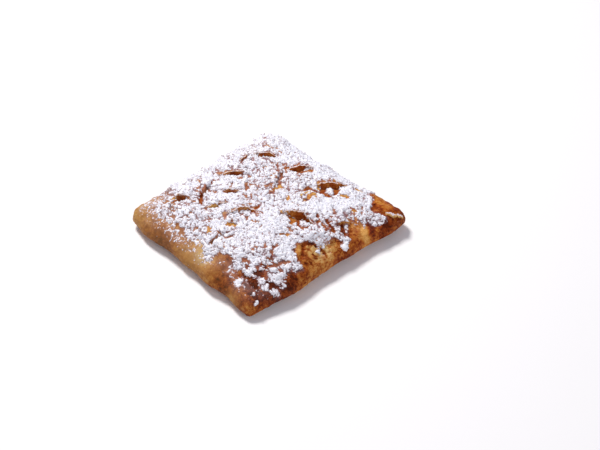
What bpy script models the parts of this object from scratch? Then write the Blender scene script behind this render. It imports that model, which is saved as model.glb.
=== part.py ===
"""Bougatsa: one square, pillow-shaped filo parcel, baked and dusted with sugar.

The parcel is a single solid. A square grid is laid out in plan, its border is
carried down and round the rim in rows, and the underside is closed flat. Each
point is then placed by functions: the plan outline with its rounded corners,
the puffed profile over it, and last the folds, puffs and small bumps of the
crust as relief. Metres, +Z up, origin at the middle of the flat underside.
"""

import math

import bmesh
import bpy
from mathutils import Vector, noise

# Plan of the rim: four corners, going round, and the radius of each
CORNER_LEFT = (-0.0810, -0.0830)
CORNER_FRONT = (0.0690, -0.0815)
CORNER_RIGHT = (0.0795, 0.0835)
CORNER_BACK = (-0.0760, 0.0690)
RADIUS_LEFT = 0.014
RADIUS_FRONT = 0.006
RADIUS_RIGHT = 0.008
RADIUS_BACK = 0.016
HALF_SIDE = 0.077
CORNER_FADE = 8.0
TINY = 1e-9

# Middle of the finished outline, which is moved to the origin
OUTLINE_MIDDLE = (-0.0006, -0.0004)

# Height of the widest line of the rim at each corner and at mid side
RIM_LEFT = 0.0075
RIM_FRONT = 0.0040
RIM_RIGHT = 0.0085
RIM_BACK = 0.0110
RIM_SIDE = 0.0080
RIM_FADE = 3.0

# Puffed profile: rise over the rim, and how squarely it bends over
DOME_RISE = 0.0235
DOME_INNER_POWER = 2.4
DOME_OUTER_POWER = 2.2
DOME_CORNER_POWER = 3.0
UNDER_CURL = 0.013
FLAT_HEIGHT = 1e-6

# Grid over the top, and the rows round the rim by their inset from the outline
TOP_CELLS = 60
TOP_INSET = 0.0032
UPPER_ROWS = (0.0018, 0.0007)
LOWER_ROWS = (0.0, 0.0009, 0.0032, 0.0070, 0.0130)

# Waves of the outline: side, place along it, outward shift, half width
OUTLINE_WAVES = (
    ("front", -0.052, 0.0022, 0.012),
    ("front", 0.020, 0.0014, 0.009),
    ("front", 0.043, -0.0012, 0.008),
    ("right", -0.036, 0.0036, 0.022),
    ("right", 0.060, 0.0016, 0.012),
    ("back", 0.060, 0.0022, 0.014),
    ("back", -0.010, -0.0012, 0.022),
    ("left", 0.018, 0.0022, 0.013),
    ("left", -0.008, -0.0018, 0.010),
    ("left", -0.032, 0.0016, 0.011),
    ("left", -0.060, -0.0030, 0.012),
)
WAVE_FADE = 5.0

# Folds of the top crust, each a lip that stands over a slot. A lip runs from one
# end to the other, bows back from the straight line, and drops on its right:
# first end, last end, bow, height of the lip, depth and length of the slot
FOLDS = (
    ((-0.0520, 0.0160), (-0.0540, 0.0290), 0.001, 0.0024, 0.0016, 0.005),
    ((-0.0505, 0.0277), (-0.0355, 0.0437), 0.001, 0.0022, 0.0014, 0.006),
    ((-0.0550, -0.0078), (-0.0330, 0.0112), 0.002, 0.0022, 0.0018, 0.005),
    ((-0.0190, 0.0377), (-0.0045, 0.0557), 0.002, 0.0028, 0.0022, 0.009),
    ((-0.0050, 0.0100), (-0.0205, 0.0370), 0.002, 0.0018, 0.0014, 0.005),
    ((0.0115, 0.0415), (0.0280, 0.0650), 0.002, 0.0032, 0.0026, 0.013),
    ((-0.0560, -0.0523), (-0.0470, -0.0418), 0.001, 0.0026, 0.0018, 0.006),
    ((-0.0390, -0.0390), (-0.0500, -0.0130), 0.002, 0.0026, 0.0018, 0.005),
    ((-0.0275, -0.0423), (-0.0205, -0.0253), 0.001, 0.0016, 0.0012, 0.006),
    ((-0.0325, -0.0188), (-0.0240, -0.0088), 0.001, 0.0022, 0.0014, 0.005),
    ((-0.0106, -0.0353), (0.0039, -0.0128), 0.002, 0.0018, 0.0014, 0.007),
    ((0.0200, -0.0048), (0.0460, 0.0082), 0.007, 0.0034, 0.0026, 0.014),
    ((-0.0025, -0.0415), (0.0045, -0.0345), 0.001, 0.0014, 0.0010, 0.006),
    ((0.0050, -0.0650), (0.0100, -0.0440), 0.005, 0.0018, 0.0014, 0.004),
    ((0.0460, -0.0160), (0.0640, 0.0170), 0.002, 0.0010, 0.0004, 0.010),
    ((0.0530, 0.0230), (0.0600, 0.0350), 0.001, 0.0026, 0.0018, 0.008),
    ((0.0300, -0.0560), (0.0520, -0.0400), 0.003, 0.0008, 0.0006, 0.007),
    ((0.0020, 0.0180), (-0.0200, -0.0040), 0.003, 0.0022, 0.0012, 0.007),
    ((0.0280, 0.0380), (0.0100, 0.0220), 0.002, 0.0020, 0.0012, 0.006),
    ((-0.0440, -0.0660), (-0.0560, -0.0560), 0.001, 0.0018, 0.0010, 0.006),
    ((-0.0660, 0.0360), (-0.0680, 0.0160), 0.001, 0.0018, 0.0010, 0.006),
)
FOLD_FACE = 0.0024
FOLD_BACK = 0.014
FOLD_OVERRUN = 1.15
FOLD_TAPER = 1.5
FOLD_WOBBLE = 0.0026
FOLD_WOBBLE_SIZE = 0.0085

# Broad puffs of the top and hollows between them: middle, reach, height
PUFFS = (
    ((0.024, -0.014), 0.015, 0.0026),
    ((0.012, -0.058), 0.014, 0.0022),
    ((0.049, 0.002), 0.013, 0.0024),
    ((0.038, -0.038), 0.013, 0.0018),
    ((0.048, 0.020), 0.010, 0.0014),
    ((-0.034, -0.052), 0.012, 0.0016),
    ((-0.037, -0.026), 0.009, 0.0014),
    ((-0.044, 0.020), 0.012, 0.0018),
    ((-0.054, 0.056), 0.013, 0.0024),
    ((-0.008, 0.061), 0.012, 0.0014),
    ((-0.003, 0.037), 0.011, 0.0018),
    ((0.035, 0.061), 0.011, 0.0014),
    ((-0.064, -0.062), 0.016, 0.0014),
    ((0.010, 0.028), 0.010, -0.0014),
    ((-0.020, 0.000), 0.012, -0.0012),
    ((0.056, 0.058), 0.012, -0.0014),
    ((0.052, -0.062), 0.013, -0.0014),
)

# Layers of uneven crust: size of the bumps, their height, and a shift of the pattern
TOP_BUMPS = (
    (0.0260, 0.0011, 1.7),
    (0.0105, 0.0008, 4.1),
    (0.0052, 0.0005, 7.3),
)
SIDE_BUMPS = ((0.0140, 0.0009, 2.9),)

# Upward slope of the surface where side relief gives way to top relief, and the
# downward slope over which all relief fades
TOP_SLOPE = (0.35, 0.85)
UNDER_SLOPE = (0.2, 0.7)

# Browned, sugared crust
CRUST_COLOUR = (0.52, 0.27, 0.10, 1.0)
CRUST_ROUGHNESS = 0.55


def smooth_step(low, high, value):
    """Rise from 0 at low to 1 at high with level ends."""
    part = min(max((value - low) / (high - low), 0.0), 1.0)
    return part * part * (3.0 - 2.0 * part)


def across_corners(u, v, left, front, right, back):
    """Blend four corner values over the grid."""
    along_x = (1.0 + u) / 2.0
    along_y = (1.0 + v) / 2.0
    near = left + (front - left) * along_x
    far = back + (right - back) * along_x
    return near + (far - near) * along_y


def corner_factor(u, v):
    """Pull the outer grid inwards so that its corners take their radii."""
    reach = max(abs(u), abs(v))
    if reach == 0.0:
        return 1.0
    radius = across_corners(
        u / reach, v / reach, RADIUS_LEFT, RADIUS_FRONT, RADIUS_RIGHT, RADIUS_BACK)
    pull = (1.0 - math.sqrt(0.5)) * radius / HALF_SIDE
    power = -math.log(2.0) / math.log(1.0 - pull)
    rounded = 1.0 / ((abs(u) / reach) ** power + (abs(v) / reach) ** power) ** (1.0 / power)
    return 1.0 + (rounded - 1.0) * reach ** CORNER_FADE


def outline_shift(u, v, x, y):
    """Sideways shift that the outline's waves give a plan point."""
    facing = {
        "front": (max(-v, 0.0), x, Vector((0.0, -1.0))),
        "back": (max(v, 0.0), x, Vector((0.0, 1.0))),
        "right": (max(u, 0.0), y, Vector((1.0, 0.0))),
        "left": (max(-u, 0.0), y, Vector((-1.0, 0.0))),
    }
    shift = Vector((0.0, 0.0))
    for side, place, outward, width in OUTLINE_WAVES:
        nearness, along, direction = facing[side]
        wave = math.exp(-((along - place) / width) ** 2)
        shift += direction * (outward * wave * nearness ** WAVE_FADE)
    return shift


def plan_point(u, v):
    """Plan position for grid coordinates from -1 to 1."""
    factor = corner_factor(u, v)
    x = across_corners(u * factor, v * factor, CORNER_LEFT[0], CORNER_FRONT[0],
                       CORNER_RIGHT[0], CORNER_BACK[0])
    y = across_corners(u * factor, v * factor, CORNER_LEFT[1], CORNER_FRONT[1],
                       CORNER_RIGHT[1], CORNER_BACK[1])
    return Vector((x, y)) + outline_shift(u, v, x, y)


def rim_height(u, v):
    """Height of the widest line of the rim, which differs from corner to corner."""
    corner = across_corners(u, v, RIM_LEFT, RIM_FRONT, RIM_RIGHT, RIM_BACK)
    return RIM_SIDE + (corner - RIM_SIDE) * abs(u * v) ** RIM_FADE


def top_height(inset, rim):
    """Height of the puffed top at an inset from the outline."""
    outward = 1.0 - min(inset / HALF_SIDE, 1.0)
    rise = (1.0 - outward ** DOME_INNER_POWER) ** (1.0 / DOME_OUTER_POWER)
    return rim + DOME_RISE * rise


def under_height(inset, rim):
    """Height of the underside, which curls up to the rim."""
    return rim * (1.0 - min(inset / UNDER_CURL, 1.0)) ** 2


def fold_height(place):
    """Relief of the lips and slots at a plan point."""
    total = 0.0
    wobble = FOLD_WOBBLE * noise.noise(place.to_3d() / FOLD_WOBBLE_SIZE)
    for first, last, bow, lip, slot, hollow in FOLDS:
        first, last = Vector(first), Vector(last)
        half = (last - first).length / 2.0 * FOLD_OVERRUN
        along = (last - first).normalized()
        away = place - (first + last) / 2.0
        aside = away.dot(along) / half
        if abs(aside) >= 1.0:
            continue
        spread = 1.0 - aside * aside
        ahead = away.x * along.y - away.y * along.x + bow * spread + wobble
        if ahead < 0.0:
            relief = lip * smooth_step(-FOLD_BACK, 0.0, ahead)
        elif ahead < FOLD_FACE:
            relief = lip - (lip + slot) * smooth_step(0.0, FOLD_FACE, ahead)
        else:
            relief = -slot * (1.0 - smooth_step(0.0, hollow, ahead - FOLD_FACE))
        total += relief * spread ** FOLD_TAPER
    return total


def puff_height(place):
    """Relief of the broad puffs and hollows."""
    total = 0.0
    for middle, reach, height in PUFFS:
        distance = (place - Vector(middle)).length / reach
        total += height * math.exp(-distance * distance)
    return total


def bumps(point, layers):
    """Layers of uneven crust."""
    total = 0.0
    for size, height, shift in layers:
        total += height * noise.noise(point / size + Vector((shift, 2.0 * shift, -shift)))
    return total


def crust_relief(point, normal):
    """How far the crust stands out from the smooth parcel."""
    upward = smooth_step(*TOP_SLOPE, normal.z)
    downward = smooth_step(*UNDER_SLOPE, -normal.z)
    place = point.to_2d()
    top = fold_height(place) + puff_height(place) + bumps(point, TOP_BUMPS)
    side = bumps(point, SIDE_BUMPS)
    return (top * upward + side * (1.0 - upward)) * (1.0 - downward)


def lay_out_grid(mesh):
    """Square grid and its border rows, with each point's u, v and row in its place."""
    bmesh.ops.create_grid(mesh, x_segments=TOP_CELLS, y_segments=TOP_CELLS, size=1.0)
    for _ in range(len(UPPER_ROWS) + len(LOWER_ROWS)):
        border = [edge for edge in mesh.edges if edge.is_boundary]
        grown = bmesh.ops.extrude_edge_only(mesh, edges=border)["geom"]
        for item in grown:
            if isinstance(item, bmesh.types.BMVert):
                item.co.z -= 1.0
    border = [edge for edge in mesh.edges if edge.is_boundary]
    bmesh.ops.contextual_create(mesh, geom=border)


def inset_from(u, v):
    """Smooth distance inwards from the outline."""
    from_x = max(1.0 - abs(u), TINY)
    from_y = max(1.0 - abs(v), TINY)
    nearness = from_x ** -DOME_CORNER_POWER + from_y ** -DOME_CORNER_POWER
    return HALF_SIDE * nearness ** (-1.0 / DOME_CORNER_POWER)


def place_points(mesh):
    """Move each grid point to its place on the smooth parcel."""
    insets = (TOP_INSET,) + UPPER_ROWS + LOWER_ROWS
    for vert in mesh.verts:
        u, v, row = vert.co.x, vert.co.y, round(-vert.co.z)
        rim = rim_height(u, v)
        inset = insets[row]
        u *= 1.0 - inset / HALF_SIDE
        v *= 1.0 - inset / HALF_SIDE
        plan = plan_point(u, v)
        under = row > len(UPPER_ROWS)
        height = under_height(inset, rim) if under else top_height(inset_from(u, v), rim)
        vert.co = Vector((plan.x, plan.y, height))


def raise_crust(mesh):
    """Push each point out along its normal by the crust's relief, and centre the parcel."""
    mesh.normal_update()
    moves = [vert.normal * crust_relief(vert.co, vert.normal) for vert in mesh.verts]
    for vert, move in zip(mesh.verts, moves):
        if vert.co.z > FLAT_HEIGHT:
            vert.co += move
    bmesh.ops.translate(mesh, verts=mesh.verts, vec=-Vector(OUTLINE_MIDDLE).to_3d())


def crust_material():
    """Browned filo under icing sugar."""
    material = bpy.data.materials.new("sugared_crust")
    material.use_nodes = True
    shader = material.node_tree.nodes["Principled BSDF"]
    shader.inputs["Base Color"].default_value = CRUST_COLOUR
    shader.inputs["Roughness"].default_value = CRUST_ROUGHNESS
    shader.inputs["Metallic"].default_value = 0.0
    material.diffuse_color = CRUST_COLOUR
    return material


def build_parcel(collection):
    """The whole parcel as one closed solid."""
    grid = bmesh.new()
    lay_out_grid(grid)
    place_points(grid)
    raise_crust(grid)
    bmesh.ops.recalc_face_normals(grid, faces=grid.faces)
    shape = bpy.data.meshes.new("bougatsa")
    grid.to_mesh(shape)
    grid.free()
    shape.shade_smooth()
    shape.materials.append(crust_material())
    parcel = bpy.data.objects.new("bougatsa", shape)
    collection.objects.link(parcel)
    return parcel


def main():
    for old in list(bpy.data.objects):
        bpy.data.objects.remove(old, do_unlink=True)
    collection = bpy.data.collections.new("bougatsa")
    bpy.context.scene.collection.children.link(collection)
    build_parcel(collection)


main()
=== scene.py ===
import math

import bpy
import numpy as np
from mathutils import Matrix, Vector, noise
from mathutils.bvhtree import BVHTree


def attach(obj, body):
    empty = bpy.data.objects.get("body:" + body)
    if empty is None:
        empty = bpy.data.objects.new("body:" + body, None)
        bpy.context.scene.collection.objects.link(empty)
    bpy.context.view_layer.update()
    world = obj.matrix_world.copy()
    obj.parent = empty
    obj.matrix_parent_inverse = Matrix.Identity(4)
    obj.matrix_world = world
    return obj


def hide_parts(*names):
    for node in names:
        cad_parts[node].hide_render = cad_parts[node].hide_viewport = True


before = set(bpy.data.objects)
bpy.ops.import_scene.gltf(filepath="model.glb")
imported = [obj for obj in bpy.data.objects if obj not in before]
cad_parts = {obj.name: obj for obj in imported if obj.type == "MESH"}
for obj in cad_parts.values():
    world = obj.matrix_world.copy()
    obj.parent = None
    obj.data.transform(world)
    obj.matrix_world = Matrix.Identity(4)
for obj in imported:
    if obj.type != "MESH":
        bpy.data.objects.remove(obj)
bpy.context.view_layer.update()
print("frame loaded")

mm = 0.001      # the tables of places are in millimetres, all other sizes in metres


# The camera stands where the photograph was taken from
cameraPlace = {
    "turn": 47.2,       # degrees round the parcel, 0 looks along +Y
    "tilt": 44.0,       # degrees above the table
    "distance": 1.215,
    "target": (0.0244, 0.0139, 0.0100),
    "lens": 90.0,
    "sensor": 36.0,
    "clip": (0.01, 20.0),
}


def newObject(name, data):
    thing = bpy.data.objects.new(name, data)
    bpy.context.scene.collection.objects.link(thing)
    return thing


def aim(thing, target):
    thing.rotation_euler = (Vector(target) - thing.location).to_track_quat("-Z", "Y").to_euler()


def awayFrom(target, turn, tilt, distance):
    turn, tilt = math.radians(turn), math.radians(tilt)
    back = Vector((math.sin(turn) * math.cos(tilt), -math.cos(turn) * math.cos(tilt), math.sin(tilt)))
    return Vector(target) + back * distance


def makeCamera():
    data = bpy.data.cameras.new("camera")
    data.lens = cameraPlace["lens"]
    data.sensor_width = cameraPlace["sensor"]
    data.clip_start, data.clip_end = cameraPlace["clip"]
    camera = newObject("camera", data)
    camera.location = awayFrom(cameraPlace["target"], cameraPlace["turn"],
                               cameraPlace["tilt"], cameraPlace["distance"])
    aim(camera, cameraPlace["target"])
    bpy.context.scene.camera = camera


makeCamera()
print("camera placed")


# Node helpers
def feed(tree, node, socket, source):
    if isinstance(source, bpy.types.NodeSocket):
        tree.links.new(source, node.inputs[socket])
    else:
        node.inputs[socket].default_value = source


def addNode(tree, kind, sources=None, **values):
    # a node with its settings, and with what feeds each of its sockets
    node = tree.nodes.new(kind)
    for name, value in values.items():
        setattr(node, name, value)
    for socket, source in (sources or {}).items():
        feed(tree, node, socket, source)
    return node


def mathNode(tree, operation, *parts, clamp=False):
    sources = dict(enumerate(parts))
    return addNode(tree, "ShaderNodeMath", sources, operation=operation, use_clamp=clamp).outputs[0]


def scaled(tree, value, factor, shift=0.0, clamp=False):
    return mathNode(tree, "MULTIPLY_ADD", value, factor, shift, clamp=clamp)


def mixColour(tree, factor, first, second, blend="MIX"):
    sources = {"Factor": factor, 6: first, 7: second}
    return addNode(tree, "ShaderNodeMix", sources, data_type="RGBA", blend_type=blend).outputs[2]


def softNoise(tree, scale, detail):
    place = addNode(tree, "ShaderNodeTexCoord").outputs["Object"]
    sources = {"Vector": place, "Scale": scale, "Detail": detail}
    return addNode(tree, "ShaderNodeTexNoise", sources).outputs["Fac"]


def addBump(tree, shader, height, strength, distance):
    sources = {"Strength": strength, "Distance": distance, "Height": height}
    bump = addNode(tree, "ShaderNodeBump", sources)
    tree.links.new(bump.outputs["Normal"], shader.inputs["Normal"])


def attributeValue(tree, name):
    return addNode(tree, "ShaderNodeAttribute", attribute_name=name).outputs["Fac"]


def newGroup(name, kind, inputs, outputs):
    # a node group with its sockets and their kinds
    tree = bpy.data.node_groups.new(name, kind)
    for way, sockets in (("INPUT", inputs), ("OUTPUT", outputs)):
        for label, socketKind in sockets.items():
            tree.interface.new_socket(label, in_out=way, socket_type="NodeSocket" + socketKind)
    return tree


def photoColour(red, green, blue):
    # 0 to 255 as a picture shows it, to the linear values that Blender takes
    parts = []
    for part in (red, green, blue):
        part /= 255.0
        parts.append(part / 12.92 if part <= 0.04045 else ((part + 0.055) / 1.055) ** 2.4)
    return (*parts, 1.0)


def newMaterial(name, roughness, specular):
    material = bpy.data.materials.new(name)
    material.use_nodes = True
    tree = material.node_tree
    shader = tree.nodes["Principled BSDF"]
    shader.inputs["Roughness"].default_value = roughness
    shader.inputs["Specular IOR Level"].default_value = specular
    return material, tree, shader


# Floor, lights and background
studio = {
    "floorHalf": 3.0,
    "floorColour": photoColour(250, 250, 250),
    "floorRoughness": 0.9,
    "floorSpecular": 0.2,
    "skyColour": (0.86, 0.83, 1.0, 1.0),
    "skyStrength": 0.28,
    "lit": (0.0, 0.0, 0.02),    # the place that the lights are aimed at
    # name, turn, tilt, distance, size, power and colour
    "lights": (
        ("keyLight", 264.0, 58.0, 1.4, 0.40, 18.8, (1.0, 0.985, 0.965)),
        ("fillLight", 68.0, 35.0, 1.6, 1.0, 7.2, (1.0, 0.98, 0.96)),
    ),
}


def makeFloor():
    half = studio["floorHalf"]
    mesh = bpy.data.meshes.new("floor")
    mesh.from_pydata([(-half, -half, 0), (half, -half, 0), (half, half, 0), (-half, half, 0)],
                     [], [(0, 1, 2, 3)])
    material, _, shader = newMaterial("paleFloor", studio["floorRoughness"], studio["floorSpecular"])
    shader.inputs["Base Color"].default_value = studio["floorColour"]
    mesh.materials.append(material)
    newObject("floor", mesh)


def addLight(name, turn, tilt, distance, size, power, colour):
    data = bpy.data.lights.new(name, "AREA")
    data.shape = "DISK"
    data.size = size
    data.energy = power
    data.color = colour
    light = newObject(name, data)
    light.location = awayFrom(studio["lit"], turn, tilt, distance)
    aim(light, studio["lit"])


def makeSky():
    world = bpy.data.worlds.new("studio")
    world.use_nodes = True
    background = world.node_tree.nodes["Background"]
    background.inputs["Color"].default_value = studio["skyColour"]
    background.inputs["Strength"].default_value = studio["skyStrength"]
    bpy.context.scene.world = world
    bpy.context.scene.view_settings.view_transform = "Standard"


makeFloor()
for light in studio["lights"]:
    addLight(*light)
makeSky()
print("floor and lights made")


# The parcel's form, the same as its solid has
parcel = {
    "corners": ((-0.0810, -0.0830), (0.0690, -0.0815), (0.0795, 0.0835), (-0.0760, 0.0690)),
    "radii": (0.014, 0.006, 0.008, 0.016),
    "halfSide": 0.077,
    "cornerFade": 8.0,
    "outlineMiddle": (-0.0006, -0.0004),
    "rims": (0.0075, 0.0040, 0.0085, 0.0110),
    "rimSide": 0.0080,
    "rimFade": 3.0,
    "domeRise": 0.0235,
    "domeInnerPower": 2.4,
    "domeOuterPower": 2.2,
    "domeCornerPower": 3.0,
    "underCurl": 0.013,
    "topInset": 0.0032,
    "waveFade": 5.0,
    # millimetres: side (front at -Y, right at +X), place along it, outward shift, half width
    "waves": (
        ("front", -52, 2.2, 12), ("front", 20, 1.4, 9), ("front", 43, -1.2, 8), ("right", -36, 3.6, 22),
        ("right", 60, 1.6, 12), ("back", 60, 2.2, 14), ("back", -10, -1.2, 22), ("left", 18, 2.2, 13),
        ("left", -8, -1.8, 10), ("left", -32, 1.6, 11), ("left", -60, -3, 12),
    ),
    # millimetres: two ends, bow, lip height, slot depth, slot length; then how far its leaf sticks out
    "folds": (
        (-52, 16, -54, 29, 1, 2.4, 1.6, 5, 0.6), (-50.5, 27.7, -35.5, 43.7, 1, 2.2, 1.4, 6, 0.8),
        (-55, -7.8, -33, 11.2, 2, 2.2, 1.8, 5, 0.7), (-19, 37.7, -4.5, 55.7, 2, 2.8, 2.2, 9, 1),
        (-5, 10, -20.5, 37, 2, 1.8, 1.4, 5, 0), (11.5, 41.5, 28, 65, 2, 3.2, 2.6, 13, 1),
        (-56, -52.3, -47, -41.8, 1, 2.6, 1.8, 6, 0.7), (-39, -39, -50, -13, 2, 2.6, 1.8, 5, 0),
        (-27.5, -42.3, -20.5, -25.3, 1, 1.6, 1.2, 6, 0.6), (-32.5, -18.8, -24, -8.8, 1, 2.2, 1.4, 5, 0.6),
        (-10.6, -35.3, 3.9, -12.8, 2, 1.8, 1.4, 7, 0.8), (20, -4.8, 46, 8.2, 7, 3.4, 2.6, 14, 1),
        (-2.5, -41.5, 4.5, -34.5, 1, 1.4, 1, 6, 0.5), (5, -65, 10, -44, 5, 1.8, 1.4, 4, 0),
        (46, -16, 64, 17, 2, 1, 0.4, 10, 0), (53, 23, 60, 35, 1, 2.6, 1.8, 8, 0),
        (30, -56, 52, -40, 3, 0.8, 0.6, 7, 0), (2, 18, -20, -4, 3, 2.2, 1.2, 7, 0),
        (28, 38, 10, 22, 2, 2, 1.2, 6, 0), (-44, -66, -56, -56, 1, 1.8, 1, 6, 0),
        (-66, 36, -68, 16, 1, 1.8, 1, 6, 0),
    ),
    "foldBack": 0.014,
    "foldOverrun": 1.15,
    "foldTaper": 1.5,
    "foldWobble": 0.0026,
    "foldWobbleSize": 0.0085,
    # millimetres: middle in plan, reach, height
    "puffs": (
        (24, -14, 15, 2.6), (12, -58, 14, 2.2), (49, 2, 13, 2.4), (38, -38, 13, 1.8), (48, 20, 10, 1.4),
        (-34, -52, 12, 1.6), (-37, -26, 9, 1.4), (-44, 20, 12, 1.8), (-54, 56, 13, 2.4),
        (-8, 61, 12, 1.4), (-3, 37, 11, 1.8), (35, 61, 11, 1.4), (-64, -62, 16, 1.4), (10, 28, 10, -1.4),
        (-20, 0, 12, -1.2), (56, 58, 12, -1.4), (52, -62, 13, -1.4),
    ),
    # size, height and shift of each layer of bumps
    "topBumps": ((0.0260, 0.0011, 1.7), (0.0105, 0.0008, 4.1), (0.0052, 0.0005, 7.3)),
    "sideBumps": ((0.0140, 0.0009, 2.9),),
}


def smoothStep(low, high, value):
    part = np.clip((value - low) / (high - low), 0.0, 1.0)
    return part * part * (3.0 - 2.0 * part)


def hump(rise, fall, value):
    # soft from 0 to 1 over the first range, and back to 0 over the second
    return smoothStep(*rise, value) * (1.0 - smoothStep(*fall, value))


def acrossCorners(u, v, values):
    left, front, right, back = values
    alongX = (1.0 + u) / 2.0
    alongY = (1.0 + v) / 2.0
    near = left + (front - left) * alongX
    far = back + (right - back) * alongX
    return near + (far - near) * alongY


def cornerFactor(u, v):
    reach = np.maximum(np.maximum(abs(u), abs(v)), 1e-9)
    radius = acrossCorners(u / reach, v / reach, parcel["radii"])
    pull = (1.0 - math.sqrt(0.5)) * radius / parcel["halfSide"]
    power = -math.log(2.0) / np.log(1.0 - pull)
    spread = np.maximum((abs(u) / reach) ** power + (abs(v) / reach) ** power, 1.0)
    rounded = spread ** (-1.0 / power)
    return 1.0 + (rounded - 1.0) * reach ** parcel["cornerFade"]


def planPoints(u, v):
    factor = cornerFactor(u, v)
    x = acrossCorners(u * factor, v * factor, [corner[0] for corner in parcel["corners"]])
    y = acrossCorners(u * factor, v * factor, [corner[1] for corner in parcel["corners"]])
    facing = {
        "front": (-v, x, 0.0, -1.0),
        "back": (v, x, 0.0, 1.0),
        "right": (u, y, 1.0, 0.0),
        "left": (-u, y, -1.0, 0.0),
    }
    shiftX, shiftY = np.zeros_like(x), np.zeros_like(y)
    for side, place, outward, width in parcel["waves"]:
        nearness, along, towardsX, towardsY = facing[side]
        wave = outward * mm * np.exp(-((along / mm - place) / width) ** 2)
        wave *= np.maximum(nearness, 0.0) ** parcel["waveFade"]
        shiftX += wave * towardsX
        shiftY += wave * towardsY
    return x + shiftX, y + shiftY


def smoothParcel(u, v, inset, under):
    # points of the parcel before its relief: u and v run from -1 to 1 across it, inset is how
    # far in from its outline they lie
    rim = parcel["rimSide"] + (acrossCorners(u, v, parcel["rims"]) - parcel["rimSide"]) \
        * abs(u * v) ** parcel["rimFade"]
    u = u * (1.0 - inset / parcel["halfSide"])
    v = v * (1.0 - inset / parcel["halfSide"])
    x, y = planPoints(u, v)
    power = parcel["domeCornerPower"]
    fromX = np.maximum(1.0 - abs(u), 1e-9)
    fromY = np.maximum(1.0 - abs(v), 1e-9)
    away = (fromX ** -power + fromY ** -power) ** (-1.0 / power)
    outward = 1.0 - np.minimum(away, 1.0)
    rise = (1.0 - outward ** parcel["domeInnerPower"]) ** (1.0 / parcel["domeOuterPower"])
    top = rim + parcel["domeRise"] * rise
    bottom = rim * (1.0 - np.minimum(inset / parcel["underCurl"], 1.0)) ** 2
    return np.stack([x, y, np.where(under, bottom, top)], axis=1)


# Soft noise at each point; the shift picks another part of the same noise
def noiseAt(points, size, shift=0.0):
    offset = Vector((shift, 2.0 * shift, -shift))
    return np.array([noise.noise(Vector(point) / size + offset) for point in points.tolist()])


def layeredNoise(points, layers):
    # sum of noises, each with a size, a height and a shift
    return sum(height * noiseAt(points, size, shift) for size, height, shift in layers)


def cellsAt(points, size, shift=0.0):
    # distance to the nearest cell's middle and to the border with the next, in cell sizes
    offset = Vector((shift, 2.0 * shift, -shift))
    found = np.array([noise.voronoi(Vector(point) / size + offset)[0][:2] for point in points.tolist()])
    return found[:, 0], found[:, 1] - found[:, 0]


def bentBy(points, amount, size, shift):
    # the same places, shifted a little by noise, so that what is laid out on them is uneven
    return points + amount * noiseAt(points, size, shift)[:, None]


def patchField(points, patches):
    # sum of soft round patches: middle and reach in millimetres, and an amount
    total = np.zeros(len(points))
    for x, y, z, reach, amount in patches:
        distance = np.linalg.norm(points / mm - (x, y, z), axis=1) / reach
        total += amount * np.exp(-distance * distance)
    return total


def alongLine(x, y, first, last):
    # the nearest share of a straight line in plan, and the distance to it
    stepX, stepY = last[0] - first[0], last[1] - first[1]
    share = ((x - first[0]) * stepX + (y - first[1]) * stepY) / (stepX ** 2 + stepY ** 2)
    share = np.clip(share, 0.0, 1.0)
    return share, np.hypot(x - first[0] - share * stepX, y - first[1] - share * stepY)


# Fine crust over the parcel's form
crust = {
    "cells": 232,
    "upperRows": 9,
    "lowerRows": 15,
    "rowPower": 2.2,
    "topFacing": (0.35, 0.85),      # how far up a normal points where top relief takes over
    "underFacing": (0.2, 0.7),      # how far down it points where relief ends
    "lipFace": 0.0014,              # length of the steep face under a lip
    "lipOverhang": 0.0016,          # how far a lip leans over its slot
    "lipFull": 0.004,               # height from which a lip leans over in full
    "lipBack": 0.004,
    "lipJag": 0.0007,
    "lipJagSize": 0.0022,
    "blister": 0.00045,
    "blisterCell": 0.0055,
    "blisterReach": 0.55,
    "blisterSpread": 0.012,
    "blistersFrom": (0.0, 0.4),
    "crackle": 0.00050,
    "plateCell": 0.0052,
    "plateBend": 0.0010,
    "plateBendSize": 0.003,
    "plateGap": 0.12,
    "wrinkle": 0.00055,
    "wrinkleSize": 0.0068,
    "wrinkleSharpness": 2.4,
    "wrinkleDip": -0.2,
    "leafStep": 0.00032,
    "leafLayers": ((0.0190, 5.0, 43.0), (0.0062, 1.6, 44.0)),
    "leafBend": 0.0012,
    "leafBendSize": 0.004,
    "leafRise": (0.80, 1.0),        # part of a leaf's width over which it steps up
    "leafEdge": ((0.70, 0.86), (0.92, 1.0)),
    "leafOnSides": 0.45,
    "fineBumps": ((0.0016, 0.00012, 9.0), (0.0032, 0.0002, 10.0)),
}


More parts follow.
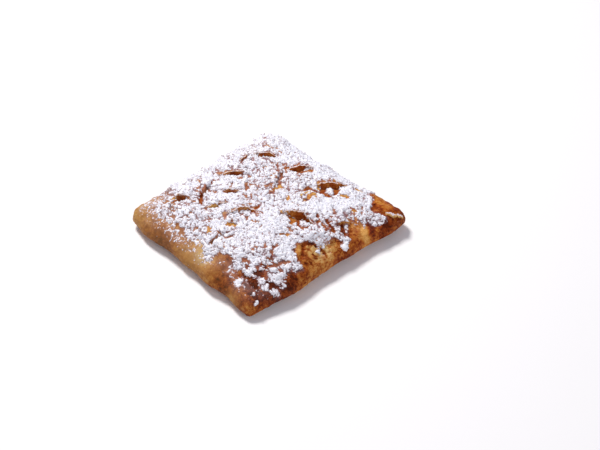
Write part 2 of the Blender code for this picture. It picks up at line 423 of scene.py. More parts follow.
def layOutGrid():
    # u, v and inset of every point, and whether it lies below the rim; then the quads and the
    # loop of points round the flat base
    cells = crust["cells"]
    line = np.linspace(-1.0, 1.0, cells + 1)
    u, v = (part.ravel() for part in np.meshgrid(line, line))
    ring = list(range(cells))
    ring += [cells + j * (cells + 1) for j in range(cells)]
    ring += [cells * (cells + 1) + j for j in range(cells, 0, -1)]
    ring += [j * (cells + 1) for j in range(cells, 0, -1)]
    topInset = parcel["topInset"]
    upper = [topInset * (1.0 - (row + 1) / (crust["upperRows"] + 1)) ** crust["rowPower"]
             for row in range(crust["upperRows"])]
    lower = [parcel["underCurl"] * row / (crust["lowerRows"] - 1) for row in range(crust["lowerRows"])]
    insets = [np.full(len(u), topInset)]
    unders = [np.zeros(len(u), bool)]
    us, vs = [u], [v]
    for inset in upper + lower:
        us.append(u[ring])
        vs.append(v[ring])
        insets.append(np.full(len(ring), inset))
        unders.append(np.full(len(ring), len(unders) > len(upper)))
    quads = []
    for j in range(cells):
        first = j * (cells + 1)
        quads += [(first + i, first + i + 1, first + i + cells + 2, first + i + cells + 1)
                  for i in range(cells)]
    above = ring
    for row in range(len(upper) + len(lower)):
        start = (cells + 1) ** 2 + row * len(ring)
        below = list(range(start, start + len(ring)))
        quads += [(below[k], below[(k + 1) % len(ring)], above[(k + 1) % len(ring)], above[k])
                  for k in range(len(ring))]
        above = below
    grid = [np.concatenate(part) for part in (us, vs, insets, unders)]
    return grid, quads, above[::-1]


def meshFrom(name, points, faces):
    mesh = bpy.data.meshes.new(name)
    mesh.from_pydata(points.tolist(), [], faces)
    mesh.update()
    return mesh


def normalsOf(mesh):
    normals = np.zeros(len(mesh.vertices) * 3, np.float32)
    mesh.vertex_normals.foreach_get("vector", normals)
    return normals.reshape(-1, 3).astype(float)


def foldLines():
    # each fold's ends, bow, lip, slot and hollow in metres, and how far its leaf sticks out
    for firstX, firstY, lastX, lastY, bow, lip, slot, hollow, leaf in parcel["folds"]:
        first, last = Vector((firstX, firstY)) * mm, Vector((lastX, lastY)) * mm
        yield first, last, bow * mm, lip * mm, slot * mm, hollow * mm, leaf


def foldField(points):
    # the relief and the sideways lean that the folds give each point
    wobble = parcel["foldWobble"] * noiseAt(points * (1.0, 1.0, 0.0), parcel["foldWobbleSize"])
    jag = crust["lipJag"] * noiseAt(points, crust["lipJagSize"], 5.0)
    relief = np.zeros(len(points))
    lean = np.zeros((len(points), 3))
    face = crust["lipFace"]
    for first, last, bow, lip, slot, hollow, _ in foldLines():
        half = (last - first).length / 2.0 * parcel["foldOverrun"]
        along = (last - first).normalized()
        middle = (first + last) / 2.0
        awayX, awayY = points[:, 0] - middle.x, points[:, 1] - middle.y
        aside = (awayX * along.x + awayY * along.y) / half
        spread = np.maximum(1.0 - aside * aside, 0.0)
        ahead = awayX * along.y - awayY * along.x + bow * spread + wobble + jag
        back = lip * smoothStep(-parcel["foldBack"], 0.0, ahead)
        drop = lip - (lip + slot) * smoothStep(0.0, face, ahead)
        floor = -slot * (1.0 - smoothStep(0.0, hollow, ahead - face))
        profile = np.where(ahead < 0.0, back, np.where(ahead < face, drop, floor))
        taper = spread ** parcel["foldTaper"]
        relief += profile * taper
        forward = hump((-crust["lipBack"], 0.0), (0.0, face), ahead)
        forward *= crust["lipOverhang"] * min(lip / crust["lipFull"], 1.0) * taper
        lean[:, 0] += forward * along.y
        lean[:, 1] -= forward * along.x
    return relief, lean


# Cracks, slots and thin spots that bare the crust between the sugar, in millimetres.
# Each has how dark it is (its bake, with painted shade added in the darkest gaps at the front corner), how
# deep it lies, and its path: places in plan with half widths.
# The notes name the places as the camera sees them, with the front corner at +X and -Y
openings = (
    # towards the far corner
    (0.68, 0.8, (-52, 23.5, 1.9), (-51.5, 21, 1.8), (-48.5, 15, 1.5)),
    (0.66, 0.5, (-50.5, 27.5, 1.2), (-46, 29.5, 1.1), (-44.5, 34, 1.3)),
    (0.6, 1.2, (-44.5, 34, 1.2), (-42.5, 38, 1.4), (-39.5, 40.5, 2.1), (-37, 42.5, 2)),
    (0.36, 0.1, (-51.5, 42.5, 1.3), (-51, 46, 2), (-47, 45.5, 1.3)),
    (0.5, 0.2, (-45, 48, 1.2), (-42, 50, 1.5)),
    (0.6, 0.3, (-44.5, 36, 0.9), (-43, 40, 1.2)),
    (0.6, 0.3, (-39, 49.5, 1), (-35.5, 48.5, 1.2)),
    # by the far left edge
    (0.6, 0.6, (-56, -6, 1.4), (-51.5, -3, 1.4), (-47.5, 0.5, 1.8)),
    (0.5, 0.7, (-48.5, -1.5, 1.9), (-46.5, 2.5, 2)),
    (0.73, 1.2, (-45.5, 2.5, 1.9), (-42.5, 4, 2.5), (-39.5, 6, 1.8)),
    (0.7, 0.5, (-38, 6.5, 1.1), (-34, 7.5, 1.1), (-31, 9.5, 1.6)),
    (0.66, 0.4, (-34.5, 0.5, 1.3), (-33, 4.5, 1.4)),
    # behind the middle
    (0.6, 0.4, (-30.5, 33.5, 1), (-29, 36.5, 1.2), (-26, 40, 1.2), (-21.5, 40.5, 1)),
    (0.67, 0.5, (-27.5, 36.5, 1.3), (-24.5, 34.5, 1.4), (-19.5, 29.5, 1.2)),
    (0.5, 0.3, (-31.5, 24, 1), (-30, 28.5, 1.2)),
    (0.68, 0.6, (-20.5, 39, 1.8), (-17.5, 35, 1.8), (-16, 31.5, 1.6)),
    (0.7, 0.6, (-15.5, 30.5, 1.4), (-10.5, 25, 1.4), (-7.5, 21.5, 1.8)),
    (0.62, 0.3, (-18.5, 25.5, 1), (-14.5, 23, 1.2), (-11.5, 22.5, 1.2)),
    (0.66, 0.4, (-19, 19.5, 1.1), (-19.5, 22.5, 1.2)),
    (0.34, 0.2, (-6, 20.5, 1.6), (-5.5, 15, 1.8), (-2.5, 8, 1.3)),
    # round the middle
    (0.69, 0.4, (-1, 9, 1.4), (-2.5, 5, 1.4)),
    (0.62, 0.4, (-13.5, 10, 1.2), (-11.5, 13, 1.2), (-10.5, 15.5, 1.1)),
    (0.7, 0.6, (-26, 2, 1.4), (-24.5, 0, 1.8), (-21.5, -2.5, 1.8)),
    (0.6, 0.3, (-24, 2.5, 1.1), (-21, 5, 1.2), (-18, 6.5, 1)),
    (0.68, 0.5, (-17.5, -8, 1.3), (-11.5, -12, 1.7)),
    (0.66, 0.4, (-13.5, -5, 1.1), (-9, -7.5, 1.3)),
    (0.62, 0.4, (-11.5, -14.5, 1.2), (-7.5, -11, 1.3)),
    (0.4, 0.1, (-13.5, -2, 1.3), (-14.5, 3.5, 1.1)),
    # towards the far right edge
    (0.52, 0.9, (-12.5, 41.5, 2.5), (-7.5, 43.5, 3.7), (-4.5, 47, 3.7), (-3.5, 52.5, 2.5)),
    (0.62, 1.6, (-19.5, 39.5, 1.4), (-16, 42, 2.2), (-13, 46.5, 2.8), (-9.5, 50, 2.2)),
    (0.66, 0.3, (-4.5, 39, 1.3), (0, 36, 1.1)),
    (0.6, 0.3, (2, 41, 1.2), (5.5, 41.5, 1.4)),
    (0.3, 0.8, (13, 45, 1.4), (16.5, 42, 1.5)),
    (0.66, 1.6, (16, 49, 2.8), (19, 45.5, 2.8), (22, 40.5, 2.5)),
    (0.6, 1.6, (18, 53, 2.5), (21.5, 55.5, 4), (27, 53, 3), (30.5, 47.5, 2.4)),
    (0.55, 0.8, (23, 58, 2), (24, 62, 1.6), (27.5, 64.5, 1.4)),
    (0.73, 1.2, (24, 41, 1.8), (28.5, 41, 2.7), (32.5, 41.5, 1.7)),
    (0.71, 0.8, (15.5, 36.5, 1.3), (18.5, 38.5, 1.6), (21.5, 40, 1.7)),
    (0.6, 0.3, (11.5, 45.5, 1), (13.5, 50.5, 1.1)),
    (0.58, 0.3, (15.5, 54, 1), (11.5, 66, 1)),
    (0.71, 0.8, (10.5, 31.5, 1.4), (11.5, 34.5, 2.2), (14.5, 36, 1.8)),
    (0.34, 0.1, (21.5, 22, 1.2), (22, 26.5, 2.1), (19, 34, 2.2), (24.5, 30.5, 1.6)),
    (0.7, 0.4, (22, 19.5, 1.2), (23, 22.5, 1.3)),
    (0.38, 0.1, (36, 49, 1.3), (39.5, 50.5, 2.2)),
    (0.4, 0.1, (9, 15, 1.5), (13, 11.5, 1.7)),
    (0.48, 0.2, (17.5, 12.5, 1), (21.5, 12, 1.2), (24, 12.5, 1.2)),
    # by the left corner
    (0.36, 0.4, (-56.5, -53, 1.1), (-53.5, -48, 1.1)),
    (0.72, 1.2, (-53, -53, 1.7), (-52, -49, 2.5), (-50, -46.5, 2.4)),
    (0.55, 0.4, (-49.5, -45.5, 1.4), (-45.5, -43.5, 1.2)),
    (0.73, 1.4, (-41.5, -34, 1.9), (-39, -36.5, 2.5), (-33, -41.5, 1.8)),
    (0.67, 0.6, (-42, -32, 1.6), (-44.5, -25.5, 1.8), (-38, -26.5, 1.2)),
    (0.64, 0.4, (-47, -19, 1.7), (-49, -14.5, 2.1), (-47, -12.5, 1.4)),
    (0.6, 0.4, (-46.5, -26.5, 1.2), (-44, -28, 1.2)),
    (0.62, 0.4, (-45.5, -34.5, 1.4), (-48, -31, 1.3)),
    (0.62, 0.3, (-36.5, -26.5, 1.4), (-33.5, -24.5, 1.1)),
    (0.45, 0.2, (-59.5, -22.5, 1.4), (-50.5, -25, 1.5)),
    (0.5, 0.3, (-41, -44, 1.3), (-37.5, -44.5, 1.1)),
    # left of the middle
    (0.62, 0.8, (-31.5, -18, 1.2), (-30, -16.5, 1.5), (-28.5, -14, 1.2), (-25, -9.5, 1)),
    (0.6, 0.3, (-30.5, -12.5, 1), (-34, -6.5, 1)),
    (0.38, 0.3, (-25.5, -40, 1), (-24, -37, 1.5), (-22.5, -32.5, 1.2)),
    (0.69, 0.5, (-24, -31.5, 1.2), (-22, -28.5, 1.5), (-20.5, -26, 1.1)),
    (0.67, 0.3, (-27.5, -45, 1), (-25, -42.5, 1.3)),
    (0.68, 0.4, (-30.5, -53.5, 1.7), (-30.5, -51.5, 1.3)),
    (0.52, 0.4, (-11.5, -35, 1.8), (-8, -37.5, 1.4)),
    (0.34, 0.2, (0.5, -41.5, 1.8), (1.5, -39, 2.8), (5, -38, 1.5)),
    # by the left edge
    (0.68, 0.5, (-16.5, -62, 1.4), (-15.5, -60, 1.9)),
    (0.36, 0.1, (-9, -53.5, 1.4), (-5, -56.5, 1.8)),
    (0.66, 0.4, (-17, -47.5, 1.3), (-13.5, -49, 1.3)),
    (0.62, 0.3, (-29.5, -58.5, 1.3), (-26.5, -59.5, 1.3)),
    (0.67, 0.4, (-32.5, -67.5, 1.4), (-29, -68, 1.4)),
    (0.55, 0.3, (-56.5, -57.5, 1.6), (-54, -56.5, 1.6), (-49, -56, 1.3)),
    (0.52, 0.3, (-47.5, -60, 1.8), (-42.5, -58.5, 1.8)),
    (0.62, 0.4, (-44.5, -65, 1.6), (-38.5, -65.5, 2.2)),
    # in front of the middle
    (0.46, 0.3, (-10, -31.5, 0.9), (-8, -29, 1), (-5.5, -24.5, 1.1)),
    (0.46, 0.3, (-5, -24, 1), (-3, -20.5, 1.3), (-1.5, -18, 1.5)),
    (0.64, 1.4, (-0.5, -17.5, 1.7), (1, -16.5, 2.4), (2, -14, 2.2), (2, -10.5, 1.4)),
    (0.5, 0.2, (-6, -20, 0.8), (-5, -15.5, 0.8), (-2, -9.5, 0.8)),
    (0.67, 0.3, (-2.5, -27.5, 1), (-1.5, -25, 1.1)),
    (0.7, 0.5, (3.5, -25, 1.3), (6.5, -27, 1.8)),
    (0.64, 0.3, (5, -16.5, 1.1), (9.5, -18.5, 1.1)),
    (0.64, 0.3, (8, -13.5, 1), (12, -14.5, 1.1)),
    (0.5, 0.3, (10.5, -26, 1.5), (13.5, -24.5, 1.9), (18, -24.5, 1.4)),
    (0.56, 0.3, (21.5, -27, 1.4), (21, -25, 1.5)),
    # towards the front
    (0.72, 0.6, (3, -52.5, 1.4), (4, -55.5, 1.4), (4.5, -62.5, 1.4)),
    (0.71, 0.5, (3.5, -53, 1.1), (9.5, -52, 1.4), (12.5, -46, 1.2)),
    (0.6, 0.3, (12.5, -55, 1.1), (16, -58, 1.1)),
    (0.58, 0.3, (34.5, -46, 2), (34, -43, 2.2)),
    (0.7, 0.5, (37.5, -36, 1.3), (39.5, -37, 1.9)),
    (0.7, 0.6, (42.5, -32, 1.8), (46.5, -36.5, 1.4), (49.5, -39.5, 1.4)),
    (0.68, 0.4, (43.5, -29.5, 1.3), (43, -27, 1.1)),
    (0.69, 0.4, (51.5, -18, 1.1), (53.5, -20.5, 1.2)),
    # the wide slots right of the middle
    (0.5, 1, (28, 0.5, 3), (32, -0.5, 3.3), (34, -4.5, 2.2)),
    (0.5, 1.4, (25, 2, 1.6), (27.5, 4.5, 2.2), (29.5, 6, 2.8)),
    (0.68, 1.6, (30, 6.5, 2), (32, 8, 2.8), (35.5, 9, 2.8)),
    (0.71, 1, (32.5, 5, 1.9), (36.5, 1, 1.9), (40.5, -2, 2.2)),
    (0.69, 0.7, (42.5, -2, 1.8), (45.5, 0.5, 2.1), (46, 3, 1.5)),
    (0.73, 0.9, (39.5, 8.5, 2), (43.5, 9.5, 2.3), (46, 9.5, 1.8)),
    (0.67, 0.4, (37, -10, 1.7), (40, -9.5, 1.5), (41.5, -6, 1.2)),
    (0.4, 0.1, (37.5, -19, 1), (41, -14, 1.3)),
    (0.34, 0, (20, -2, 1.2), (23, 1.5, 0.9)),
    # towards the right edge
    (0.73, 0.7, (38.5, 19.5, 1.3), (43, 16, 1.7), (45.5, 13, 1.8)),
    (0.73, 0.7, (48.5, 14, 1.7), (52, 14, 2), (56, 12, 1.7)),
    (0.82, 0.8, (48, 20.5, 1.7), (53, 19.5, 1.9), (58.5, 18.5, 2.1)),
    (0.73, 0.6, (55.5, 16, 1.4), (58.5, 15.5, 1.6)),
    (0.62, 0.4, (47, 25.5, 1.3), (48.5, 27.5, 1.2)),
    (0.72, 0.5, (47.5, 30.5, 1.7), (48.5, 32.5, 1.5)),
    (0.62, 0.3, (41.5, 33.5, 1.1), (45, 32, 1.2)),
    (0.76, 0.8, (58.5, 28.5, 1.9), (62, 25.5, 2.2), (65, 25.5, 1.8)),
    (0.48, 0.2, (56.5, 36.5, 1.5), (59.5, 34.5, 1.9)),
    (0.66, 0.4, (54, 26, 1.2), (57, 26.5, 1.2)),
    (0.72, 0.4, (62.5, 33.5, 1.1), (66.5, 31, 1.3)),
    (0.71, 0.4, (57, 43, 1.1), (60.5, 40, 1.3), (63.5, 39.5, 1.2)),
    (0.7, 0.3, (53.5, 39, 1.1), (56.5, 37, 1.3)),
    # on the right edge
    (0.73, 0.9, (57.5, -4.5, 1.5), (54.5, -9.5, 1.8), (58, -14, 1.8), (62, -18.5, 1.6)),
    (0.72, 0.6, (66.5, -15, 1.4), (69, -15, 1.6)),
    (0.7, 0.5, (58, -4, 1.2), (61.5, -3, 1.2), (64.5, -1.5, 1.1)),
    (0.71, 0.6, (65.5, 0, 1.2), (69.5, 0, 1.6)),
    (0.71, 0.5, (65, -9, 1.3), (67, -8, 1.4)),
    (0.71, 0.6, (63.5, 15.5, 1.4), (68, 15.5, 1.6), (70, 18.5, 1.2)),
    (0.34, 0.1, (54.5, -15, 1.8), (57.5, -18, 2.1)),
    (0.62, 0.2, (62.5, -22, 2.6), (65.5, -21.5, 2.4)),
    # towards the front corner; the darkest of these, in the gaps between heaps, hold painted shade as well
    # as their baked brown
    (0.68, 0.4, (57.5, -35, 1.5), (58.5, -31, 1.4)),
    (0.73, 0.4, (47.5, -52.5, 1.2), (49.5, -54, 1.4)),
    (0.72, 0.4, (58.5, -41.5, 1.3), (61.5, -40.5, 1.6)),
    (0.71, 0.4, (48, -42, 1.6), (50.5, -41, 1.6)),
    (0.73, 0.5, (53, -45, 1.6), (54.5, -41, 2)),
    (0.67, 0.5, (56, -39.5, 1.2), (57, -34.5, 1.6), (59.5, -30.5, 1.3)),
    (0.86, 0.5, (48, -48, 1.3), (51.5, -48, 1.7), (54.5, -48, 1.6)),
    (0.73, 0.5, (36, -57, 1.9), (38, -54.5, 2.2), (41.5, -58, 2.1)),
    (0.88, 0.6, (42, -63.5, 1.8), (46, -64, 1.8)),
    (0.73, 0.5, (41.5, -66.5, 1.7), (40, -64, 1.6)),
    (0.97, 0.9, (50.5, -63, 2.5), (55, -63, 3.6), (59, -64, 2.4)),
    (0.94, 0.7, (49, -58.5, 2.1), (52.5, -55.5, 2.8), (56, -52.5, 2.2)),
    (0.95, 0.7, (63, -56.5, 2.6), (66, -53, 3.6), (69.5, -49, 2.4)),
    (0.92, 0.6, (65.5, -38.5, 1.9), (68, -42, 2.2), (71.5, -42.5, 1.9)),
    (0.72, 0.6, (59, -53, 1.8), (54, -50, 1.8)),
    # right corner and the last small gaps
    (0.71, 0.6, (59.5, 60, 1.4), (64, 61, 1.8), (69, 64.5, 1.8), (72, 68.5, 1.4)),
    (0.6, 0.2, (53, 55.5, 0.8), (58.5, 49.5, 0.9), (64, 46, 0.8)),
    (0.62, 0.3, (49.5, 45.5, 1.2), (52, 45.5, 1.3)),
    (0.42, 0.2, (53.5, 44.5, 1.3), (55.5, 46.5, 1.1)),
    (0.5, 0.2, (57.5, 38.5, 1.5), (62, 36.5, 2)),
    (0.44, 0.2, (61, 41.5, 0.8), (65.5, 38.5, 1)),
    (0.1, 0, (36, 65.5, 1.3), (40.5, 66.5, 1.9)),
    (0.6, 0.2, (59, 54.5, 0.8), (64, 55.5, 0.9)),
)
openingEdge = {
    "soft": 0.0003,
    "jag": 0.0012,
    "jagSize": 0.0024,
    "crumbSize": 0.0020,
    "crumbsFrom": 0.45,             # openings darker than this hold crumbs of sugar
    "crumbGaps": (-0.26, -0.08),
    "clearDepth": 0.3,              # deeper ones, in millimetres, hold fewer
    "clearing": 0.9,
    "slope": (-0.0004, 0.0010),     # places inside the edge where it goes down
    "deepFrom": 0.8,
    "beside": (-0.0032, -0.0002),   # places outside a deep one where the sugar is thinner
}


def openingField(points):
    # how bare, how dark and how deep the openings make each point, and how near it is to a deep one
    bare, bake, depth, beside = np.zeros((4, len(points)))
    x, y = points[:, 0] / mm, points[:, 1] / mm
    size = openingEdge["jagSize"]
    jag = openingEdge["jag"] * layeredNoise(points, ((size, 1.0, 14.0), (0.5 * size, 0.5, 15.0)))
    crumbs = noiseAt(points, openingEdge["crumbSize"], 17.0)
    for dark, deep, *path in openings:
        inner = np.full(len(points), -1.0)
        for first, last in zip(path, path[1:]):
            share, away = alongLine(x, y, first, last)
            width = first[2] + (last[2] - first[2]) * share
            inner = np.maximum(inner, (width - away) * mm)
        inner += jag
        here = smoothStep(-openingEdge["soft"], openingEdge["soft"], inner)
        if dark > openingEdge["crumbsFrom"]:
            clear = openingEdge["clearing"] * max(deep - openingEdge["clearDepth"], 0.0)
            here *= smoothStep(*openingEdge["crumbGaps"], crumbs + clear)
        bake = np.where(here > 0.0, bake + (dark - bake) * here, bake)
        bare = np.maximum(bare, here)
        depth = np.maximum(depth, deep * mm * smoothStep(*openingEdge["slope"], inner))
        if deep >= openingEdge["deepFrom"]:
            beside = np.maximum(beside, smoothStep(*openingEdge["beside"], inner))
    return bare, bake, depth, beside


def puffField(points):
    total = np.zeros(len(points))
    for x, y, reach, height in parcel["puffs"]:
        distance = np.hypot(points[:, 0] / mm - x, points[:, 1] / mm - y) / reach
        total += height * mm * np.exp(-distance * distance)
    return total


def blisterField(points):
    middles = cellsAt(points, crust["blisterCell"], 3.0)[0]
    blister = crust["blister"] * np.maximum(1.0 - (middles / crust["blisterReach"]) ** 2, 0.0)
    return blister * smoothStep(*crust["blistersFrom"], noiseAt(points, crust["blisterSpread"], 8.0))


# Where the crust crackled into small plates: middle, reach, strength
cracklePatches = (
    (62, -6, 24, 13, 1.00), (68, 12, 19, 10, 0.80), (70, 35, 18, 11, 0.50), (60, 75, 18, 12, 0.50),
    (58, -60, 18, 14, 0.50), (22, 24, 33, 8, 0.60),
)


def grooveField(points):
    # 1 in the grooves between the small plates
    crackled = np.minimum(patchField(points, cracklePatches), 1.0)
    bent = bentBy(points, crust["plateBend"], crust["plateBendSize"], 16.0)
    plates = cellsAt(bent, crust["plateCell"], 6.0)[1]
    return crackled * (1.0 - smoothStep(0.0, crust["plateGap"], plates))


def leafField(points):
    # wrinkles and the edges of broken leaves, with how near each point is to such an edge
    bent = bentBy(points, crust["leafBend"], crust["leafBendSize"], 41.0)
    ridges = 1.0 - crust["wrinkleSharpness"] * abs(noiseAt(bent, crust["wrinkleSize"], 42.0))
    ridges = np.maximum(ridges, crust["wrinkleDip"])
    steps = layeredNoise(bent, crust["leafLayers"])
    part = steps - np.floor(steps)
    leaves = crust["leafStep"] * (np.floor(steps) + smoothStep(*crust["leafRise"], part))
    return crust["wrinkle"] * ridges + leaves, ridges, hump(*crust["leafEdge"], part)


def makeCrustShape():
    grid, quads, border = layOutGrid()
    points = smoothParcel(*grid)
    mesh = meshFrom("crust", points, quads + [tuple(border)])
    normals = normalsOf(mesh)
    upward = smoothStep(*crust["topFacing"], normals[:, 2])
    downward = smoothStep(*crust["underFacing"], -normals[:, 2])
    middle = np.array((*parcel["outlineMiddle"], 0.0))
    relief, lean = foldField(points)
    bare, slotBakeAndShade, depth, beside = openingField(points - middle)
    top = relief + puffField(points) - depth + layeredNoise(points, parcel["topBumps"])
    side = layeredNoise(points, parcel["sideBumps"])
    groove = grooveField(points)
    leaves, ridges, leafEdge = leafField(points)
    onSides = crust["leafOnSides"]
    height = top * upward + side * (1.0 - upward) + leaves * (onSides + (1.0 - onSides) * upward)
    height += blisterField(points) - crust["crackle"] * groove + layeredNoise(points, crust["fineBumps"])
    moved = points + normals * (height * (1.0 - downward))[:, None] + lean * upward[:, None]
    flat = points[:, 2] < 1e-6
    moved[flat] = points[flat]
    moved -= middle
    moved[:, 2] = np.maximum(moved[:, 2], 0.0)
    mesh.vertices.foreach_set("co", moved.astype(np.float32).ravel())
    mesh.update()
    fields = {"bare": bare * upward, "slotBakeAndShade": slotBakeAndShade, "beside": beside, "groove": groove,
              "ridges": ridges, "leafEdge": leafEdge, "depth": depth}
    return mesh, moved, quads, fields


crustMesh, crustPoints, crustQuads, fields = makeCrustShape()
print("crust shaped:", len(crustPoints), "points")


# How brown the crust baked, from 0 pale to 1 dark, with painted shade and painted highlights mixed in at
# some places
baking = {
    "base": 0.53,
    # middle and reach in millimetres, and the change
    "patches": (
        # pale and brown spots of the side at the picture's left
        (-20, -78, 18, 22, -0.07), (6, -77, 19, 14, -0.04), (4, -73.5, 21, 8, -0.26),
        (12, -74.5, 20, 7, -0.16), (-8, -81, 10, 13, 0.11), (10, -81, 10, 10, 0.09),
        (-38, -79, 12, 14, 0.18), (36, -80, 10, 6, 0.16), (23, -81, 13, 7, -0.14),
        (-67, -77, 12, 15, -0.10), (-44, -83, 10, 11, 0.14), (-26, -82, 6, 10, 0.10),
        (23, -80, 15, 8, 0.16), (38, -77, 14, 8, 0.34), (25, -66, 23, 9, 0.24), (51, -74, 17, 7, 0.10),
        (47, -81, 9, 7, -0.14), (58, -80, 8, 6, 0.12), (62, -72, 14, 8, 0.16),
        # dark behind the front corner and along the right side
        (52, -62, 20, 11, 0.36), (70, -60, 10, 10, 0.22), (62, -48, 20, 9, 0.24), (66, -36, 19, 8, 0.14),
        (73, -42, 14, 12, 0.22), (73, -30, 14, 9, 0.15), (70, -18, 14, 8, 0.04),
        # golden shoulder on the right side, with darker spots round it; its first patch is paler still, as
        # painted light on a slope that faces away from the lamps
        (62, -1, 25, 11, -0.54), (70, -7, 17, 6, 0.08), (71, 3, 19, 7, -0.40), (75, 8, 10, 9, 0.12),
        (75, 20, 12, 9, 0.04), (74, 33, 13, 7, 0.06), (66, 24, 21, 6, 0.16), (70, 33, 18, 6, -0.10),
        # golden ridge, with darker gaps
        (68, 50, 19, 5, 0.14), (69, 42.5, 20, 4, -0.60), (72, 40.5, 17, 4.4, -0.64),
        (75.5, 38.5, 13, 4.4, -0.40), (73.8, 46.5, 16.5, 3.4, 0.36), (70, 48, 19, 3, 0.30),
        (75.2, 50.5, 16, 3.4, -0.36), (77, 54, 14, 10, 0.20),
        # brown towards the right corner, golden on its top, where two small pale spots are painted
        # highlights as well as golden crust
        (77, 65, 14, 10, 0.12), (53, 73, 22, 5, -0.14), (58.5, 63.5, 22, 4, 0.30),
        (57.8, 69, 22, 3.6, -0.22), (60, 79, 19, 5, 0.02), (65, 74, 20, 4, -0.20), (73, 81, 15, 5, 0.10),
    ),
    # the same for where it has a deep golden tone
    "rich": (
        (58, 72, 21, 14, 0.90), (68, 78, 18, 8, 0.40), (75, 56, 14, 16, 0.55), (74, 32, 14, 15, 0.65),
        (73, 4, 12, 12, 0.55), (71, 42, 18, 7, 0.60),
    ),
    # and for where its colour is more even
    "calm": (
        (-30, -79, 15, 34, 0.45), (-2, -79, 14, 17, 0.70), (18, -74, 18, 16, 0.50), (49, -80, 9, 9, 0.80),
        (-70, -70, 12, 26, 0.75),
    ),
    "calming": 0.7,
    "uneven": ((0.017, 0.20, 11.0), (0.0065, 0.15, 12.0)),
    "ridges": 0.14,
    "ridgeLevel": 0.4,
    "leafEdge": 0.20,
    "groove": 0.40,
    # darker towards the bottom of the rim: partly browner baking there, partly painted shade where the lower
    # sides get little light
    "lowerRimBrowningAndShade": 0.18,
    "rimHeights": (0.001, 0.009),
    # darker where the sugar covers: partly a browner top crust, partly painted shade in the gaps between
    # sugar lumps
    "underSugarBrowningAndShade": 0.30,
    "coveredFrom": (0.2, 0.6),
    "slotUneven": 0.16,
    "slotUnevenSize": 0.004,
    # bare crust is rich where it lies deep or baked golden, not where it baked dark
    "deepRich": 0.55,
    "deepFrom": (0.0005, 0.0010),
    "goldenRich": 0.35,
    "goldenUnder": (0.40, 0.50),
    "darkFrom": (0.74, 0.80),
}


def richField():
    rich = patchField(crustPoints, baking["rich"])
    deep = smoothStep(*baking["deepFrom"], fields["depth"])
    golden = 1.0 - smoothStep(*baking["goldenUnder"], fields["slotBakeAndShade"])
    slots = fields["bare"] * (baking["deepRich"] * deep + baking["goldenRich"] * golden)
    rich += slots * (1.0 - smoothStep(*baking["darkFrom"], fields["slotBakeAndShade"]))
    return np.clip(rich, 0.0, 1.0)


def bakeField():
    bake = baking["base"] + patchField(crustPoints, baking["patches"])
    # painted shade and browning under the sugar
    bake += baking["underSugarBrowningAndShade"] * smoothStep(*baking["coveredFrom"], fields["cover"])
    uneven = layeredNoise(crustPoints, baking["uneven"])
    uneven += baking["ridges"] * (fields["ridges"] - baking["ridgeLevel"])
    uneven += baking["leafEdge"] * fields["leafEdge"]
    bake += uneven * (1.0 - baking["calming"] * fields["calm"])
    # painted shade and browning low on the rim
    bake += baking["lowerRimBrowningAndShade"] * (1.0 - smoothStep(*baking["rimHeights"], crustPoints[:, 2]))
    # the openings' own colour, with painted shade where they are darkest
    slot = fields["slotBakeAndShade"] + baking["slotUneven"] * noiseAt(crustPoints, baking["slotUnevenSize"], 13.0)
    bake += (slot - bake) * fields["bare"]
    bake += baking["groove"] * fields["groove"]
    return np.clip(bake, 0.0, 1.0)


def setAttribute(mesh, name, values):
    attribute = mesh.attributes.new(name, "FLOAT", "POINT")
    attribute.data.foreach_set("value", np.asarray(values, np.float32))


